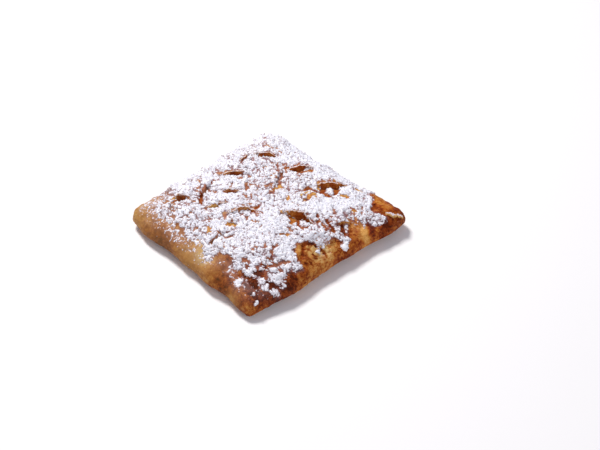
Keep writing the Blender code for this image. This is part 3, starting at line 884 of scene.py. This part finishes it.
# Where the sugar lies and how, with its places in millimetres
sugar = {
    # a line in plan round the sugared part of the top
    "border": (
        (-70.5, -60), (-63, -68), (-55.5, -71.2), (-46.5, -71.6), (-37, -69.8), (-30.5, -67.5),
        (-23.5, -67.5), (-17.5, -70.8), (-11, -69), (-6.5, -65.5), (-1.5, -66.8), (4.5, -71.8),
        (10.5, -73.8), (16, -72.2), (15.2, -67), (16, -64), (21, -62.6), (26.8, -61.8), (29.5, -61.2),
        (32.5, -65.8), (38.5, -64.7), (42, -63.5), (46.6, -65), (49.8, -62.2), (52.7, -60.6), (57.7, -62),
        (63.2, -61.4), (66.6, -58.6), (70.1, -57.6), (72.7, -52.8), (70.9, -49.3), (71.9, -46.3),
        (71.8, -42.8), (67.3, -40.7), (65.6, -34.9), (68.7, -30.4), (69.3, -24.1), (65, -21.4),
        (60, -22.3), (53.9, -18.7), (51.1, -14.4), (53.6, -10.4), (56.6, -6.1), (60.3, -2.6), (63.4, 1.1),
        (64, 6.6), (62.8, 10), (63.5, 16.8), (68.2, 18.3), (70.7, 21.2), (70.5, 25.5), (65.9, 26.6),
        (61.9, 31.4), (60, 37.2), (65, 38.5), (63, 42.5), (68.5, 43), (65.5, 48), (69.1, 48.4),
        (72.8, 51.3), (74.6, 56.5), (74.5, 61.8), (73.1, 65.6), (68.9, 63.9), (63.6, 61.2), (58.7, 60.5),
        (56.2, 62.5), (53.5, 68.9), (50.9, 70.4), (47.4, 69.9), (45.7, 72.5), (44, 84), (0, 84),
        (-40, 80), (-72, 72), (-82, 50), (-84, 0), (-84, -45), (-77, -56),
    ),
    "edgeWarp": 0.0014,
    "edgeWarpSize": 0.0050,
    "edgeFade": (-0.0015, 0.0025),
    "slopeFade": (-0.05, 0.28),
    # it fell from behind, so slopes that face this way caught less
    "lee": (0.73, -0.68, 0.0),
    "leeFacing": (0.35, 0.75),
    "leeLoss": 0.22,
    "bareLoss": 0.97,
    # middle, reach and change of how fully it covers
    "thinner": (
        (-74, -70, 20, 24, -0.62), (-60, -60, 24, 14, -0.32), (-78, -46, 18, 14, -0.30),
        (56, -54, 22, 14, 0.06), (60, 36, 24, 14, 0.12), (60, 18, 24, 10, -0.20), (57, 2, 26, 9, 0.35),
        (70, 58, 20, 8, -0.20), (38, -63, 23, 7, -0.26), (61, -58, 20, 7, -0.34),
        (64, -53.5, 20, 6, -0.22), (49, -52, 23, 6, 0.50), (42, -44, 26, 9, 0.50), (32, -36, 28, 9, 0.42),
        (53, 8, 27, 8, 0.38), (-51, -40, 26, 10, 0.38), (-59, 58, 22, 9, -0.42), (-60, 33, 24, 10, -0.34),
        (46, 22, 28, 8, -0.08), (-44, -30, 28, 10, -0.25), (-22, 20, 30, 16, -0.25),
        (4, 18, 32, 12, -0.28), (22, 28, 32, 8, -0.30), (-20, 36, 28, 12, -0.20),
        (-35, -72, 20, 14, -0.22), (64, 56, 18, 10, -0.15),
    ),
    # where it lies in crumbs with gaps between them, and where it lies close
    "broken": (
        (-5, -1, 31, 14, 0.55), (-10, -14, 30, 10, 0.40), (54, -54, 23, 15, 1.00),
        (-42, -61, 26, 16, 0.50), (-20, -59, 28, 10, 0.35), (50, 18, 29, 12, 0.60),
        (54, 36, 27, 12, 0.25), (70, 56, 20, 8, 0.50), (-50, 40, 26, 12, 0.45), (-16, 30, 30, 11, 0.60),
        (0, 35, 31, 11, 0.55), (-18, -2, 30, 10, 0.50), (-48, -17, 27, 12, 0.25), (-26, 5, 29, 10, 0.40),
        (13, -59, 27, 13, -0.55), (31, -19, 35, 12, -0.55), (32, 29, 32, 12, -0.50),
        (3, 62, 27, 16, -0.60), (51, -24, 28, 8, -0.30), (46, 43, 27, 10, -0.40), (49, -9, 30, 8, -0.30),
        (-29, -35, 30, 10, -0.35), (-60, 60, 24, 20, -0.40),
    ),
    "brokenBase": 0.54,
    "brokenUneven": ((0.0120, 0.5, 29.0),),
    # lone heaps: place in plan and radius
    "heaps": (
        (36.5, -62.5, 3.4), (45.6, -70.9, 4), (41.9, -61.3, 1.8), (47.1, -59.8, 3), (58.5, -58.5, 2),
        (62.5, -57, 2.6), (64.2, -47.1, 4), (62, -51, 1.8), (64, -40.5, 3), (69.5, -54.1, 2.8),
        (67, -71.5, 2), (61.9, -68.9, 1.8), (66.5, -25.1, 2.6), (72.2, 18.2, 3.8), (70, 20.5, 3),
        (64.2, 2.8, 2.2), (64.5, -4, 2.2), (70.7, -45.8, 1.8),
    ),
    # specks and a fine film on the crust beside it
    "film": (
        (-71, -62, 21, 12, 0.90), (-60, -68, 23, 11, 0.90), (-47, -71, 23, 10, 0.80),
        (-33, -71, 23, 9, 0.80), (-18, -72, 22, 9, 0.80), (-4, -70, 21, 9, 0.70), (8, -74, 20, 8, 0.80),
        (20, -69, 22, 7, 0.50), (34, -66, 22, 7, 0.90), (46, -70, 19, 6, 0.80), (62, -62, 18, 7, 0.60),
        (55, -72, 17, 8, 0.40), (67, -2, 21, 7, 0.50), (66, 40, 21, 10, 0.20),
    ),
    "filmUneven": ((0.0060, 0.8, 53.0),),
    "heapBend": (0.0012, 0.0026, 52.0),
    "heapsFacing": 0.1,             # heaps lie only where the crust faces up more than this
    "heapRise": 1.2,
    "heapCrumbs": 0.4,
    "heapUneven": ((0.0024, 0.8, 30.0),),
    "speckRise": 0.9,
    "speckDepth": 1.07,
    "speckUneven": ((0.0022, 1.3, 31.0),),
    "thickest": 0.0017,
    "hidden": -0.00035,
    "lumpBend": (0.0010, 0.003, 25.0),
    "lumpCell": 0.0038,
    "lumpGap": 0.42,
    "crumbCell": 0.0017,
    "crumbGap": 0.45,
    "crackSize": 0.0050,
    "crackWidth": (0.025, 0.15),
    "cracks": (0.22, 1.30),         # depth where it lies close, and what lying broken adds
    "pitCell": 0.0035,
    "pitWidth": (0.18, 0.34),
    "pits": (0.35, 1.30),
    "bareUnder": (0.0, 0.2),        # cover under which it goes, and how far it then sinks
    "bareDepth": 0.8,
    "coverLevel": 1.20,
    "lumpDepth": 0.40,
    "crumbDepth": 0.28,
    "uneven": ((0.0085, 0.40, 21.0), (0.0017, 0.30, 23.0)),
    "fluff": (0.25, 0.55, 0.35),    # share of its thickness that is even, in lumps and in crumbs
    "beside": 0.5,                  # how much thinner it lies beside a deep opening
    "coatDepth": 0.0006,            # how far the coat goes on under the crust
}


def insideBorder(points, border):
    # distance inside a closed line in plan, less than 0 outside it
    x, y = points[:, 0] / mm, points[:, 1] / mm
    nearest = np.full(len(points), np.inf)
    inside = np.zeros(len(points), bool)
    for first, last in zip(border, border[1:] + border[:1]):
        nearest = np.minimum(nearest, alongLine(x, y, first, last)[1])
        if first[1] != last[1]:
            lean = (last[0] - first[0]) / (last[1] - first[1])
            inside ^= ((first[1] > y) != (last[1] > y)) & (x < lean * (y - first[1]) + first[0])
    return np.where(inside, nearest, -nearest) * mm


def coverField():
    # how fully the sugar covers each point
    inside = fields["inside"] + sugar["edgeWarp"] * noiseAt(crustPoints, sugar["edgeWarpSize"], 51.0)
    cover = smoothStep(*sugar["edgeFade"], inside)
    cover *= 1.0 + patchField(crustPoints, sugar["thinner"])
    cover *= 1.0 - sugar["bareLoss"] * fields["bare"]
    normals = normalsOf(crustMesh)
    cover *= smoothStep(*sugar["slopeFade"], normals[:, 2])
    cover *= 1.0 - sugar["leeLoss"] * smoothStep(*sugar["leeFacing"], normals @ np.array(sugar["lee"]))
    return np.clip(cover, 0.0, 1.0)


def heapField():
    # how deep each point lies inside a lone heap, 1 in its middle and below 0 outside
    bent = bentBy(crustPoints, *sugar["heapBend"])
    upper = normalsOf(crustMesh)[:, 2] > sugar["heapsFacing"]
    depth = np.full(len(crustPoints), -1.0)
    for x, y, radius in sugar["heaps"]:
        beside = np.hypot(crustPoints[:, 0] - x * mm, crustPoints[:, 1] - y * mm)
        middle = crustPoints[np.argmin(np.where(upper, beside, 1.0))]
        away = np.linalg.norm(bent - middle, axis=1) / (radius * mm)
        depth = np.maximum(depth, 1.0 - away ** 2)
    return np.where(upper, depth, -1.0)


def filmField():
    film = patchField(crustPoints, sugar["film"])
    return np.clip(film * (1.0 + layeredNoise(crustPoints, sugar["filmUneven"])), 0.0, 1.0)


def sugarThickness():
    # lumps with crumbs on them, cut by cracks and pits, then the lone heaps and the specks
    cover = fields["cover"]
    bent = bentBy(crustPoints, *sugar["lumpBend"])
    lumps = smoothStep(0.0, sugar["lumpGap"], cellsAt(bent, sugar["lumpCell"], 24.0)[1])
    crumbs = smoothStep(0.0, sugar["crumbGap"], cellsAt(bent, sugar["crumbCell"], 26.0)[1])
    cracks = 1.0 - smoothStep(*sugar["crackWidth"], abs(noiseAt(bent, sugar["crackSize"], 27.0)))
    pits = 1.0 - smoothStep(*sugar["pitWidth"], cellsAt(bent, sugar["pitCell"], 28.0)[0])
    broken = sugar["brokenBase"] + patchField(crustPoints, sugar["broken"])
    broken = np.clip(broken + layeredNoise(crustPoints, sugar["brokenUneven"]), 0.0, 1.0)
    level = sugar["coverLevel"] * cover + layeredNoise(crustPoints, sugar["uneven"])
    level -= sugar["lumpDepth"] * (1.0 - lumps) + sugar["crumbDepth"] * (1.0 - crumbs)
    for gaps, (close, loose) in ((cracks, sugar["cracks"]), (pits, sugar["pits"])):
        level -= (close + loose * broken) * gaps
    level -= sugar["bareDepth"] * (1.0 - smoothStep(*sugar["bareUnder"], cover))
    heaps = sugar["heapRise"] * fields["heap"] - sugar["heapCrumbs"] * (1.0 - crumbs)
    heaps += layeredNoise(crustPoints, sugar["heapUneven"])
    specks = sugar["speckRise"] * fields["film"] - sugar["speckDepth"]
    specks += layeredNoise(crustPoints, sugar["speckUneven"])
    level = np.maximum(np.maximum(level, heaps), specks * (1.0 - fields["bare"]))
    low, lumpShare, crumbShare = sugar["fluff"]
    fluff = low + lumpShare * lumps + crumbShare * crumbs
    thick = sugar["thickest"] * np.clip(level, -1.0, 1.0) * fluff
    return np.maximum(thick * (1.0 - sugar["beside"] * fields["beside"]), sugar["hidden"])


# Shallow openings inside the border keep a thin dust, unless they baked golden or dark
dusting = {
    "amount": 0.45,
    "insideFrom": (-0.001, 0.002),
    "depthTo": (0.0004, 0.0009),
    "bakedFrom": (0.42, 0.52),
    "bakedTo": (0.70, 0.78),
}


def dustField():
    shallow = hump(dusting["bakedFrom"], dusting["bakedTo"], fields["slotBakeAndShade"])
    shallow *= smoothStep(*dusting["insideFrom"], fields["inside"])
    shallow *= 1.0 - smoothStep(*dusting["depthTo"], fields["depth"])
    return np.maximum(fields["cover"], dusting["amount"] * fields["bare"] * shallow)


fields["inside"] = insideBorder(crustPoints, sugar["border"])
fields["cover"] = coverField()
fields["heap"] = heapField()
fields["film"] = filmField()
fields["sugar"] = sugarThickness()
fields["calm"] = np.clip(patchField(crustPoints, baking["calm"]), 0.0, 1.0)
fields["rich"] = richField()
fields["bake"] = bakeField()
fields["dust"] = dustField()
fields["haze"] = fields["film"] * (1.0 - fields["bare"]) * (1.0 - fields["cover"])
for name in ("bake", "calm", "rich", "dust", "haze"):
    setAttribute(crustMesh, name, fields[name])
print("crust baked and sugar laid out")


def rimEdges(quads):
    edges = np.concatenate([quads[:, [k, (k + 1) % 4]] for k in range(4)])
    keys = {tuple(edge) for edge in edges.tolist()}
    return sorted(edge for edge in keys if (edge[1], edge[0]) not in keys)


def sugaredQuads(flags):
    # the quads round the flagged points, with no two that touch only at a corner
    quads = np.array(crustQuads)
    while True:
        chosen = quads[flags[quads].any(axis=1)]
        starts = np.bincount([edge[0] for edge in rimEdges(chosen)], minlength=len(flags))
        if starts.max() < 2:
            return chosen
        flags = flags | (starts > 1)


def makeSugarCoat():
    # a closed coat: its top where the sugar shows, its underside just inside the crust
    thick = fields["sugar"]
    chosen = sugaredQuads(thick > 0.0)
    used = np.unique(chosen)
    number = np.full(len(thick), -1)
    number[used] = np.arange(len(used))
    normals = normalsOf(crustMesh)[used]
    top = crustPoints[used] + normals * thick[used][:, None]
    bottom = crustPoints[used] - normals * sugar["coatDepth"]
    faces = number[chosen]
    count = len(used)
    walls = [(first, first + count, last + count, last) for first, last in rimEdges(faces)]
    allFaces = faces.tolist() + (faces[:, ::-1] + count).tolist() + walls
    mesh = meshFrom("sugarCoat", np.concatenate([top, bottom]), allFaces)
    setAttribute(mesh, "thickness", np.tile(thick[used], 2))
    return mesh


def addPiece(mesh, material, replaced=None):
    piece = newObject(mesh.name, mesh)
    mesh.materials.clear()
    mesh.materials.append(material)
    mesh.shade_smooth()
    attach(piece, "root")
    if replaced:
        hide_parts(replaced)


# Thin broken leaves of pastry that stick out over the slots
leaves = {
    "behind": 0.0030,
    "beyond": 0.0012,
    "curl": 0.0005,
    "curlPower": 1.6,
    "thick": 0.00030,
    "step": 0.00055,
    "across": 7,
    "along": 24,            # places along a fold's leaf, before they are spaced evenly
    "smoothings": 6,
    "bareEdge": 0.0002,
    "reach": 0.92,          # share of its fold's lip that a leaf takes up
    "sunk": 0.0003,         # how deep its back edge lies in the crust
    "lift": 0.0004,         # how much higher it lies towards its front
    "onCrust": 0.0002,      # how far past the lip it still follows the crust
    "ragged": ((0.0026, 0.9, 0.0), (0.0011, 0.5, 0.0)),
    "raggedLeast": 0.15,
    "endPower": 4,          # how abruptly a leaf narrows at its ends, and what is left there
    "endLeast": 0.02,
    "frontThinned": 0.5,
    "sugarAmount": 1.1,
    "sugarFade": 0.0005,
    "bake": 0.22,
    "bakeUneven": 0.4,
    "calm": 0.3,
    "rich": 0.3,
    # lone leaves: path in millimetres, length over the edge, rise, bare edge, how ragged
    "lone": (
        (((69.0, 66.0), (72.0, 70.5), (74.8, 74.5), (77.0, 79.0)), 0.0031, -0.0010, 0.0010, 0.8),
        (((16.0, 37.0), (18.5, 30.0), (22.5, 21.5)), 0.0040, 0.0010, 0.0050, 1.0),
        (((-57.5, -47.5), (-54.5, -45.5), (-52.0, -42.5)), 0.0024, 0.0008, 0.0030, 1.0),
    ),
}


def smoothPath(path, step):
    # evenly spaced places along a path, with the direction there
    lengths = np.hypot(*np.diff(path, axis=0).T)
    travelled = np.concatenate([[0.0], np.cumsum(lengths)])
    count = max(int(travelled[-1] / step), 4)
    at = np.linspace(0.0, travelled[-1], count)
    places = np.stack([np.interp(at, travelled, path[:, axis]) for axis in (0, 1)], axis=1)
    for _ in range(leaves["smoothings"]):
        places[1:-1] = 0.5 * places[1:-1] + 0.25 * (places[2:] + places[:-2])
    along = np.gradient(places, axis=0)
    along /= np.hypot(along[:, 0], along[:, 1])[:, None]
    return places, along


def leafPaths():
    # path, length over the edge, rise, bare edge and raggedness of each leaf
    for first, last, bow, *_, leaf in foldLines():
        if leaf == 0.0:
            continue
        first, last = np.array(first), np.array(last)
        half = (last - first) / 2.0
        along = half / np.hypot(*half)
        towards = np.array((along[1], -along[0]))
        share = np.linspace(-leaves["reach"], leaves["reach"], leaves["along"])
        path = (first + last) / 2.0 + share[:, None] * half - (bow * (1.0 - share ** 2))[:, None] * towards
        flat = np.concatenate([path, np.zeros((len(path), 1))], axis=1)
        path -= (parcel["foldWobble"] * noiseAt(flat, parcel["foldWobbleSize"]))[:, None] * towards
        path -= parcel["outlineMiddle"]
        yield path, leaves["beyond"] * leaf, leaves["curl"] * leaf, leaves["bareEdge"], 1.0
    for path, *shape in leaves["lone"]:
        yield np.array(path) * mm, *shape


def stripFaces(count, across):
    # quads of a strip's top, of its underside turned over, and of the walls round it
    size = count * across
    faces = []
    for row in range(count - 1):
        for start in range(row * across, row * across + across - 1):
            faces.append((start, start + 1, start + across + 1, start + across))
    turned = [tuple(size + corner for corner in face[::-1]) for face in faces]
    edge = [row * across for row in range(count)]
    edge += [(count - 1) * across + column for column in range(1, across)]
    edge += [row * across + across - 1 for row in range(count - 2, -1, -1)]
    edge += list(range(across - 2, 0, -1))
    walls = [(first, last, size + last, size + first) for first, last in zip(edge, edge[1:] + edge[:1])]
    return faces + turned + walls


def makeLeaf(ground, path, beyond, rise, bareEdge, rough, seed):
    # one closed strip: points and faces, with how much sugar lies on each point
    places, along = smoothPath(path, leaves["step"])
    towards = np.stack([along[:, 1], -along[:, 0]], axis=1)
    count, across = len(places), leaves["across"]
    flat = np.concatenate([places, np.full((count, 1), seed)], axis=1)
    ragged = 1.0 + rough * layeredNoise(flat, leaves["ragged"])
    narrowed = 1.0 - np.linspace(-1.0, 1.0, count) ** leaves["endPower"]
    taper = np.sqrt(np.maximum(narrowed, leaves["endLeast"]))
    front = beyond * np.maximum(ragged, leaves["raggedLeast"]) * taper
    points, sugared = [], []
    for row in range(count):
        base = None
        for column in range(across):
            part = column / (across - 1)
            shift = -leaves["behind"] + (leaves["behind"] + front[row]) * part
            x, y = places[row] + towards[row] * shift
            if shift <= leaves["onCrust"] or base is None:
                hit = ground.ray_cast(Vector((x, y, 0.1)), Vector((0.0, 0.0, -1.0)))[0]
                height = hit.z + leaves["lift"] * part - leaves["sunk"]
                base = height
            else:
                height = base + rise * (shift / max(beyond, 1e-6)) ** leaves["curlPower"]
            points.append((x, y, height))
            fade = smoothStep(0.0, leaves["sugarFade"], np.array(front[row] - shift - bareEdge))
            sugared.append(leaves["sugarAmount"] * float(fade))
    points = np.array(points)
    under = points.copy()
    thinned = leaves["frontThinned"] * np.tile(np.linspace(0.0, 1.0, across), count)
    under[:, 2] -= leaves["thick"] * (1.0 - thinned)
    return np.concatenate([points, under]), stripFaces(count, across), sugared + [0.0] * len(under)


def makeLeaves():
    ground = BVHTree.FromPolygons(crustPoints.tolist(), crustQuads)
    allPoints, allFaces, allSugar = [], [], []
    for seed, leaf in enumerate(leafPaths()):
        points, faces, sugared = makeLeaf(ground, *leaf, seed)
        start = len(allSugar)
        allPoints.append(points)
        allFaces += [tuple(start + corner for corner in face) for face in faces]
        allSugar += sugared
    points = np.concatenate(allPoints)
    mesh = meshFrom("leafEdges", points, allFaces)
    bake = leaves["bake"] + leaves["bakeUneven"] * noiseAt(points, 0.004, 61.0)
    setAttribute(mesh, "bake", np.clip(bake, 0.0, 1.0))
    for name in ("calm", "rich"):
        setAttribute(mesh, name, np.full(len(points), leaves[name]))
    setAttribute(mesh, "dust", allSugar)
    setAttribute(mesh, "haze", np.clip(allSugar, 0.0, 1.0))
    return mesh


# Crust colours, from pale to dark, as the photograph shows them
crustFinish = {
    "colours": (
        (0.00, photoColour(228, 198, 142)),
        (0.22, photoColour(202, 162, 98)),
        (0.45, photoColour(184, 122, 58)),
        (0.65, photoColour(152, 79, 28)),
        (0.82, photoColour(118, 46, 12)),
        (1.00, photoColour(70, 22, 7)),
    ),
    "coarseMottle": 380.0,
    "fineMottle": 1300.0,
    "mottling": 0.66,
    "calmed": -0.32,            # change of the mottling where the colour is calm
    "tan": photoColour(162, 136, 76),
    "tanShare": 0.40,
    "rich": (1.0, 0.64, 0.25, 1.0),
    "richShare": 0.8,
    "thinDust": photoColour(176, 156, 166),
    "thinDustShare": 0.42,
    "dust": photoColour(240, 234, 242),
    "haze": 0.10,
    "speckScale": 520.0,
    "speckDetail": 3.0,
    "speckLevel": 0.73,
    "speckSharpness": 10.0,
    "speckShare": 0.85,
    "specksInDust": 0.16,
    "specksInHaze": 0.22,
    "roughness": 0.52,
    "roughnessMottle": 0.35,
    "specular": 0.13,
    "gloss": (1.0, 0.80, 0.55, 1.0),
    "bump": (0.6, 0.0005),
}


def makeMottle():
    # two sizes of soft blotches, added up, from about -1 to 1
    sizes, results = {"Coarse": "Float", "Fine": "Float"}, {"Value": "Float", "Height": "Float"}
    tree = newGroup("mottle", "ShaderNodeTree", sizes, results)
    inputs = addNode(tree, "NodeGroupInput")
    coarse, fine = (softNoise(tree, inputs.outputs[name], detail)
                    for name, detail in (("Coarse", 3.0), ("Fine", 4.0)))
    value = mathNode(tree, "SUBTRACT", mathNode(tree, "ADD", coarse, fine), 1.0)
    addNode(tree, "NodeGroupOutput", {"Value": value, "Height": fine})
    return tree


def placeMottle(tree, group, coarse, fine):
    node = addNode(tree, "ShaderNodeGroup", {"Coarse": coarse, "Fine": fine}, node_tree=group)
    return node.outputs["Value"], node.outputs["Height"]


def bakedColour(tree, blotches):
    # the ramp from pale to dark at the attribute's value, made uneven by the blotches
    strength = scaled(tree, attributeValue(tree, "calm"), crustFinish["calmed"], crustFinish["mottling"])
    bake = mathNode(tree, "MULTIPLY_ADD", blotches, strength, attributeValue(tree, "bake"), clamp=True)
    ramp = addNode(tree, "ShaderNodeValToRGB", {"Fac": bake})
    stops = ramp.color_ramp.elements
    for place, _ in crustFinish["colours"][1:-1]:
        stops.new(place)
    for stop, (place, colour) in zip(stops, crustFinish["colours"]):
        stop.position = place
        stop.color = colour
    return ramp.outputs["Color"]


def sugarSpecks(tree):
    # specks of sugar, denser where the dust and the haze are
    level = softNoise(tree, crustFinish["speckScale"], crustFinish["speckDetail"])
    for name, share in (("dust", "specksInDust"), ("haze", "specksInHaze")):
        level = mathNode(tree, "MULTIPLY_ADD", attributeValue(tree, name), crustFinish[share], level)
    above = mathNode(tree, "SUBTRACT", level, crustFinish["speckLevel"])
    specks = scaled(tree, above, crustFinish["speckSharpness"], clamp=True)
    return scaled(tree, specks, crustFinish["speckShare"])


def makeCrustMaterial(mottle):
    material, tree, shader = newMaterial("crust", crustFinish["roughness"], crustFinish["specular"])
    blotches, height = placeMottle(tree, mottle, crustFinish["coarseMottle"], crustFinish["fineMottle"])
    colour = bakedColour(tree, blotches)
    layers = (
        ("calm", "tanShare", "tan", "MIX"),
        ("rich", "richShare", "rich", "MULTIPLY"),
        ("dust", "thinDustShare", "thinDust", "MIX"),
        ("haze", "haze", "dust", "MIX"),
    )
    for name, share, over, blend in layers:
        factor = scaled(tree, attributeValue(tree, name), crustFinish[share])
        colour = mixColour(tree, factor, colour, crustFinish[over], blend)
    colour = mixColour(tree, sugarSpecks(tree), colour, crustFinish["dust"])
    tree.links.new(colour, shader.inputs["Base Color"])
    rough = scaled(tree, blotches, crustFinish["roughnessMottle"], crustFinish["roughness"], clamp=True)
    tree.links.new(rough, shader.inputs["Roughness"])
    addBump(tree, shader, height, *crustFinish["bump"])
    shader.inputs["Specular Tint"].default_value = crustFinish["gloss"]
    return material


# Icing sugar, matt white, greyer where it is so thin that the crust shows through
sugarFinish = {
    "white": photoColour(247, 248, 255),
    "thin": photoColour(162, 136, 138),
    "thinUnder": 0.00055,
    "whiteness": 1.62,
    "coarseMottle": 700.0,
    "fineMottle": 2600.0,
    "mottling": 6.0,
    "roughness": 0.95,
    "specular": 0.15,
    "bump": (0.3, 0.0002),
}


def makeSugarMaterial(mottle):
    material, tree, shader = newMaterial("icingSugar", sugarFinish["roughness"], sugarFinish["specular"])
    grain, height = placeMottle(tree, mottle, sugarFinish["coarseMottle"], sugarFinish["fineMottle"])
    cover = mathNode(tree, "DIVIDE", attributeValue(tree, "thickness"), sugarFinish["thinUnder"], clamp=True)
    cover = scaled(tree, cover, sugarFinish["whiteness"])
    cover = mathNode(tree, "MULTIPLY_ADD", grain, sugarFinish["mottling"], cover, clamp=True)
    colour = mixColour(tree, cover, sugarFinish["thin"], sugarFinish["white"])
    tree.links.new(colour, shader.inputs["Base Color"])
    addBump(tree, shader, height, *sugarFinish["bump"])
    return material


mottle = makeMottle()
crustMaterial = makeCrustMaterial(mottle)
sugarMaterial = makeSugarMaterial(mottle)
addPiece(crustMesh, crustMaterial, "bougatsa")
addPiece(makeLeaves(), crustMaterial)
sugarCoat = makeSugarCoat()
addPiece(sugarCoat, sugarMaterial)
print("crust and sugar coat made:", len(sugarCoat.polygons), "faces of sugar")


# Clumps and grains of sugar, scattered by geometry nodes
scatters = {
    # per square metre, radii, ring and rows of a ball, seed; then the cover between which they
    # come in, the share that lies where there is no coat, and what a deep opening keeps off
    "sugarClumps": {
        "each": 250000.0, "small": 0.00040, "large": 0.0010, "ring": 6, "rows": 4, "seed": 3,
        "coverFrom": (0.1, 0.5), "onBare": 0.05, "offBeside": 0.8,
    },
    "sugarGrains": {
        "each": 500000.0, "small": 0.00018, "large": 0.00048, "ring": 4, "rows": 3, "seed": 8,
        "coverFrom": (0.05, 0.35), "onBare": 0.15, "offBeside": 0.0,
    },
}
ballShape = {
    "sizePower": 2.2,                   # above 1 makes more small balls than large ones
    "slimmest": (0.7, 0.7, 0.55),
    "widest": (1.3, 1.3, 0.95),
    "turn": (6.283, 6.283, 6.283),      # a whole turn round each axis, in radians
    # share of balls greyed as painted shade, and the thickness that gives them that grey
    "shadedShare": 0.20,
    "shadedThickness": 0.00014,
    "whiteThickness": 0.001,
    "onCoat": (-0.0003, 0.0001),       # thickness of the coat from which a point counts as sugared
}


def makeScatterTree(name, settings, material):
    inputs = {"Geometry": "Geometry", "Per Square Metre": "Float", "Smallest": "Float",
              "Largest": "Float", "Seed": "Int"}
    tree = newGroup(name, "GeometryNodeTree", inputs, {"Geometry": "Geometry"})
    given = addNode(tree, "NodeGroupInput").outputs
    here = addNode(tree, "GeometryNodeInputNamedAttribute", {"Name": "scatter"}, data_type="FLOAT")
    density = mathNode(tree, "MULTIPLY", here.outputs["Attribute"], given["Per Square Metre"])
    spread = addNode(tree, "GeometryNodeDistributePointsOnFaces",
                     {"Mesh": given["Geometry"], "Density": density, "Seed": given["Seed"]})
    ball = addNode(tree, "GeometryNodeMeshUVSphere",
                   {"Segments": settings["ring"], "Rings": settings["rows"], "Radius": 1.0})
    draw = addNode(tree, "FunctionNodeRandomValue", {"Seed": given["Seed"]}, data_type="FLOAT")
    skewed = mathNode(tree, "POWER", draw.outputs[1], ballShape["sizePower"])
    reach = mathNode(tree, "SUBTRACT", given["Largest"], given["Smallest"])
    size = mathNode(tree, "MULTIPLY_ADD", skewed, reach, given["Smallest"])
    squeeze = addNode(tree, "FunctionNodeRandomValue",
                      {0: ballShape["slimmest"], 1: ballShape["widest"]}, data_type="FLOAT_VECTOR")
    scale = addNode(tree, "ShaderNodeVectorMath", {0: squeeze.outputs[0], "Scale": size}, operation="SCALE")
    turn = addNode(tree, "FunctionNodeRandomValue", {1: ballShape["turn"]}, data_type="FLOAT_VECTOR")
    copies = addNode(tree, "GeometryNodeInstanceOnPoints",
                     {"Points": spread.outputs["Points"], "Instance": ball.outputs["Mesh"],
                      "Rotation": turn.outputs[0], "Scale": scale.outputs[0]})
    real = addNode(tree, "GeometryNodeRealizeInstances", {"Geometry": copies.outputs["Instances"]})
    finish = addNode(tree, "GeometryNodeSetMaterial",
                     {"Geometry": real.outputs["Geometry"], "Material": material})
    addNode(tree, "NodeGroupOutput", {"Geometry": finish.outputs["Geometry"]})
    return tree


def socketKey(tree, name):
    for item in tree.interface.items_tree:
        if item.name == name and item.in_out == "INPUT":
            return item.identifier


def scatterOver(bed, name, settings, material):
    tree = makeScatterTree(name, settings, material)
    carrier = newObject(name + "Bed", bed)
    modifier = carrier.modifiers.new("scatter", "NODES")
    modifier.node_group = tree
    labels = {"Per Square Metre": "each", "Smallest": "small", "Largest": "large", "Seed": "seed"}
    for label, setting in labels.items():
        modifier[socketKey(tree, label)] = settings[setting]
    graph = bpy.context.evaluated_depsgraph_get()
    mesh = bpy.data.meshes.new_from_object(carrier.evaluated_get(graph))
    mesh.name = name
    bpy.data.objects.remove(carrier)
    return mesh


def scatterBed(name, settings):
    # the top of the crust with the coat on it, and how densely each point is strewn
    cells = crust["cells"]
    count = (cells + 1) ** 2
    thick = fields["sugar"][:count]
    points = crustPoints[:count] + normalsOf(crustMesh)[:count] * np.maximum(thick, 0.0)[:, None]
    mesh = meshFrom(name + "Ground", points, crustQuads[:cells * cells])
    sugared = smoothStep(*ballShape["onCoat"], thick)
    density = smoothStep(*settings["coverFrom"], fields["cover"][:count])
    density *= settings["onBare"] + (1.0 - settings["onBare"]) * sugared
    density *= 1.0 - settings["offBeside"] * fields["beside"][:count]
    setAttribute(mesh, "scatter", density)
    return mesh


def ballThickness(mesh, settings):
    # some balls are left greyer than the rest, as painted shade between the sugar grains: a thin-sugar
    # thickness gives them the grey colour
    corners = settings["ring"] * (settings["rows"] - 1) + 2
    draw = np.random.default_rng(settings["seed"]).random(len(mesh.vertices) // corners)
    grey = draw < ballShape["shadedShare"]
    return np.repeat(np.where(grey, ballShape["shadedThickness"], ballShape["whiteThickness"]), corners)


for name, settings in scatters.items():
    mesh = scatterOver(scatterBed(name, settings), name, settings, sugarMaterial)
    setAttribute(mesh, "thickness", ballThickness(mesh, settings))
    addPiece(mesh, sugarMaterial)
    print(name, "made:", sum(len(face.vertices) - 2 for face in mesh.polygons), "triangles")
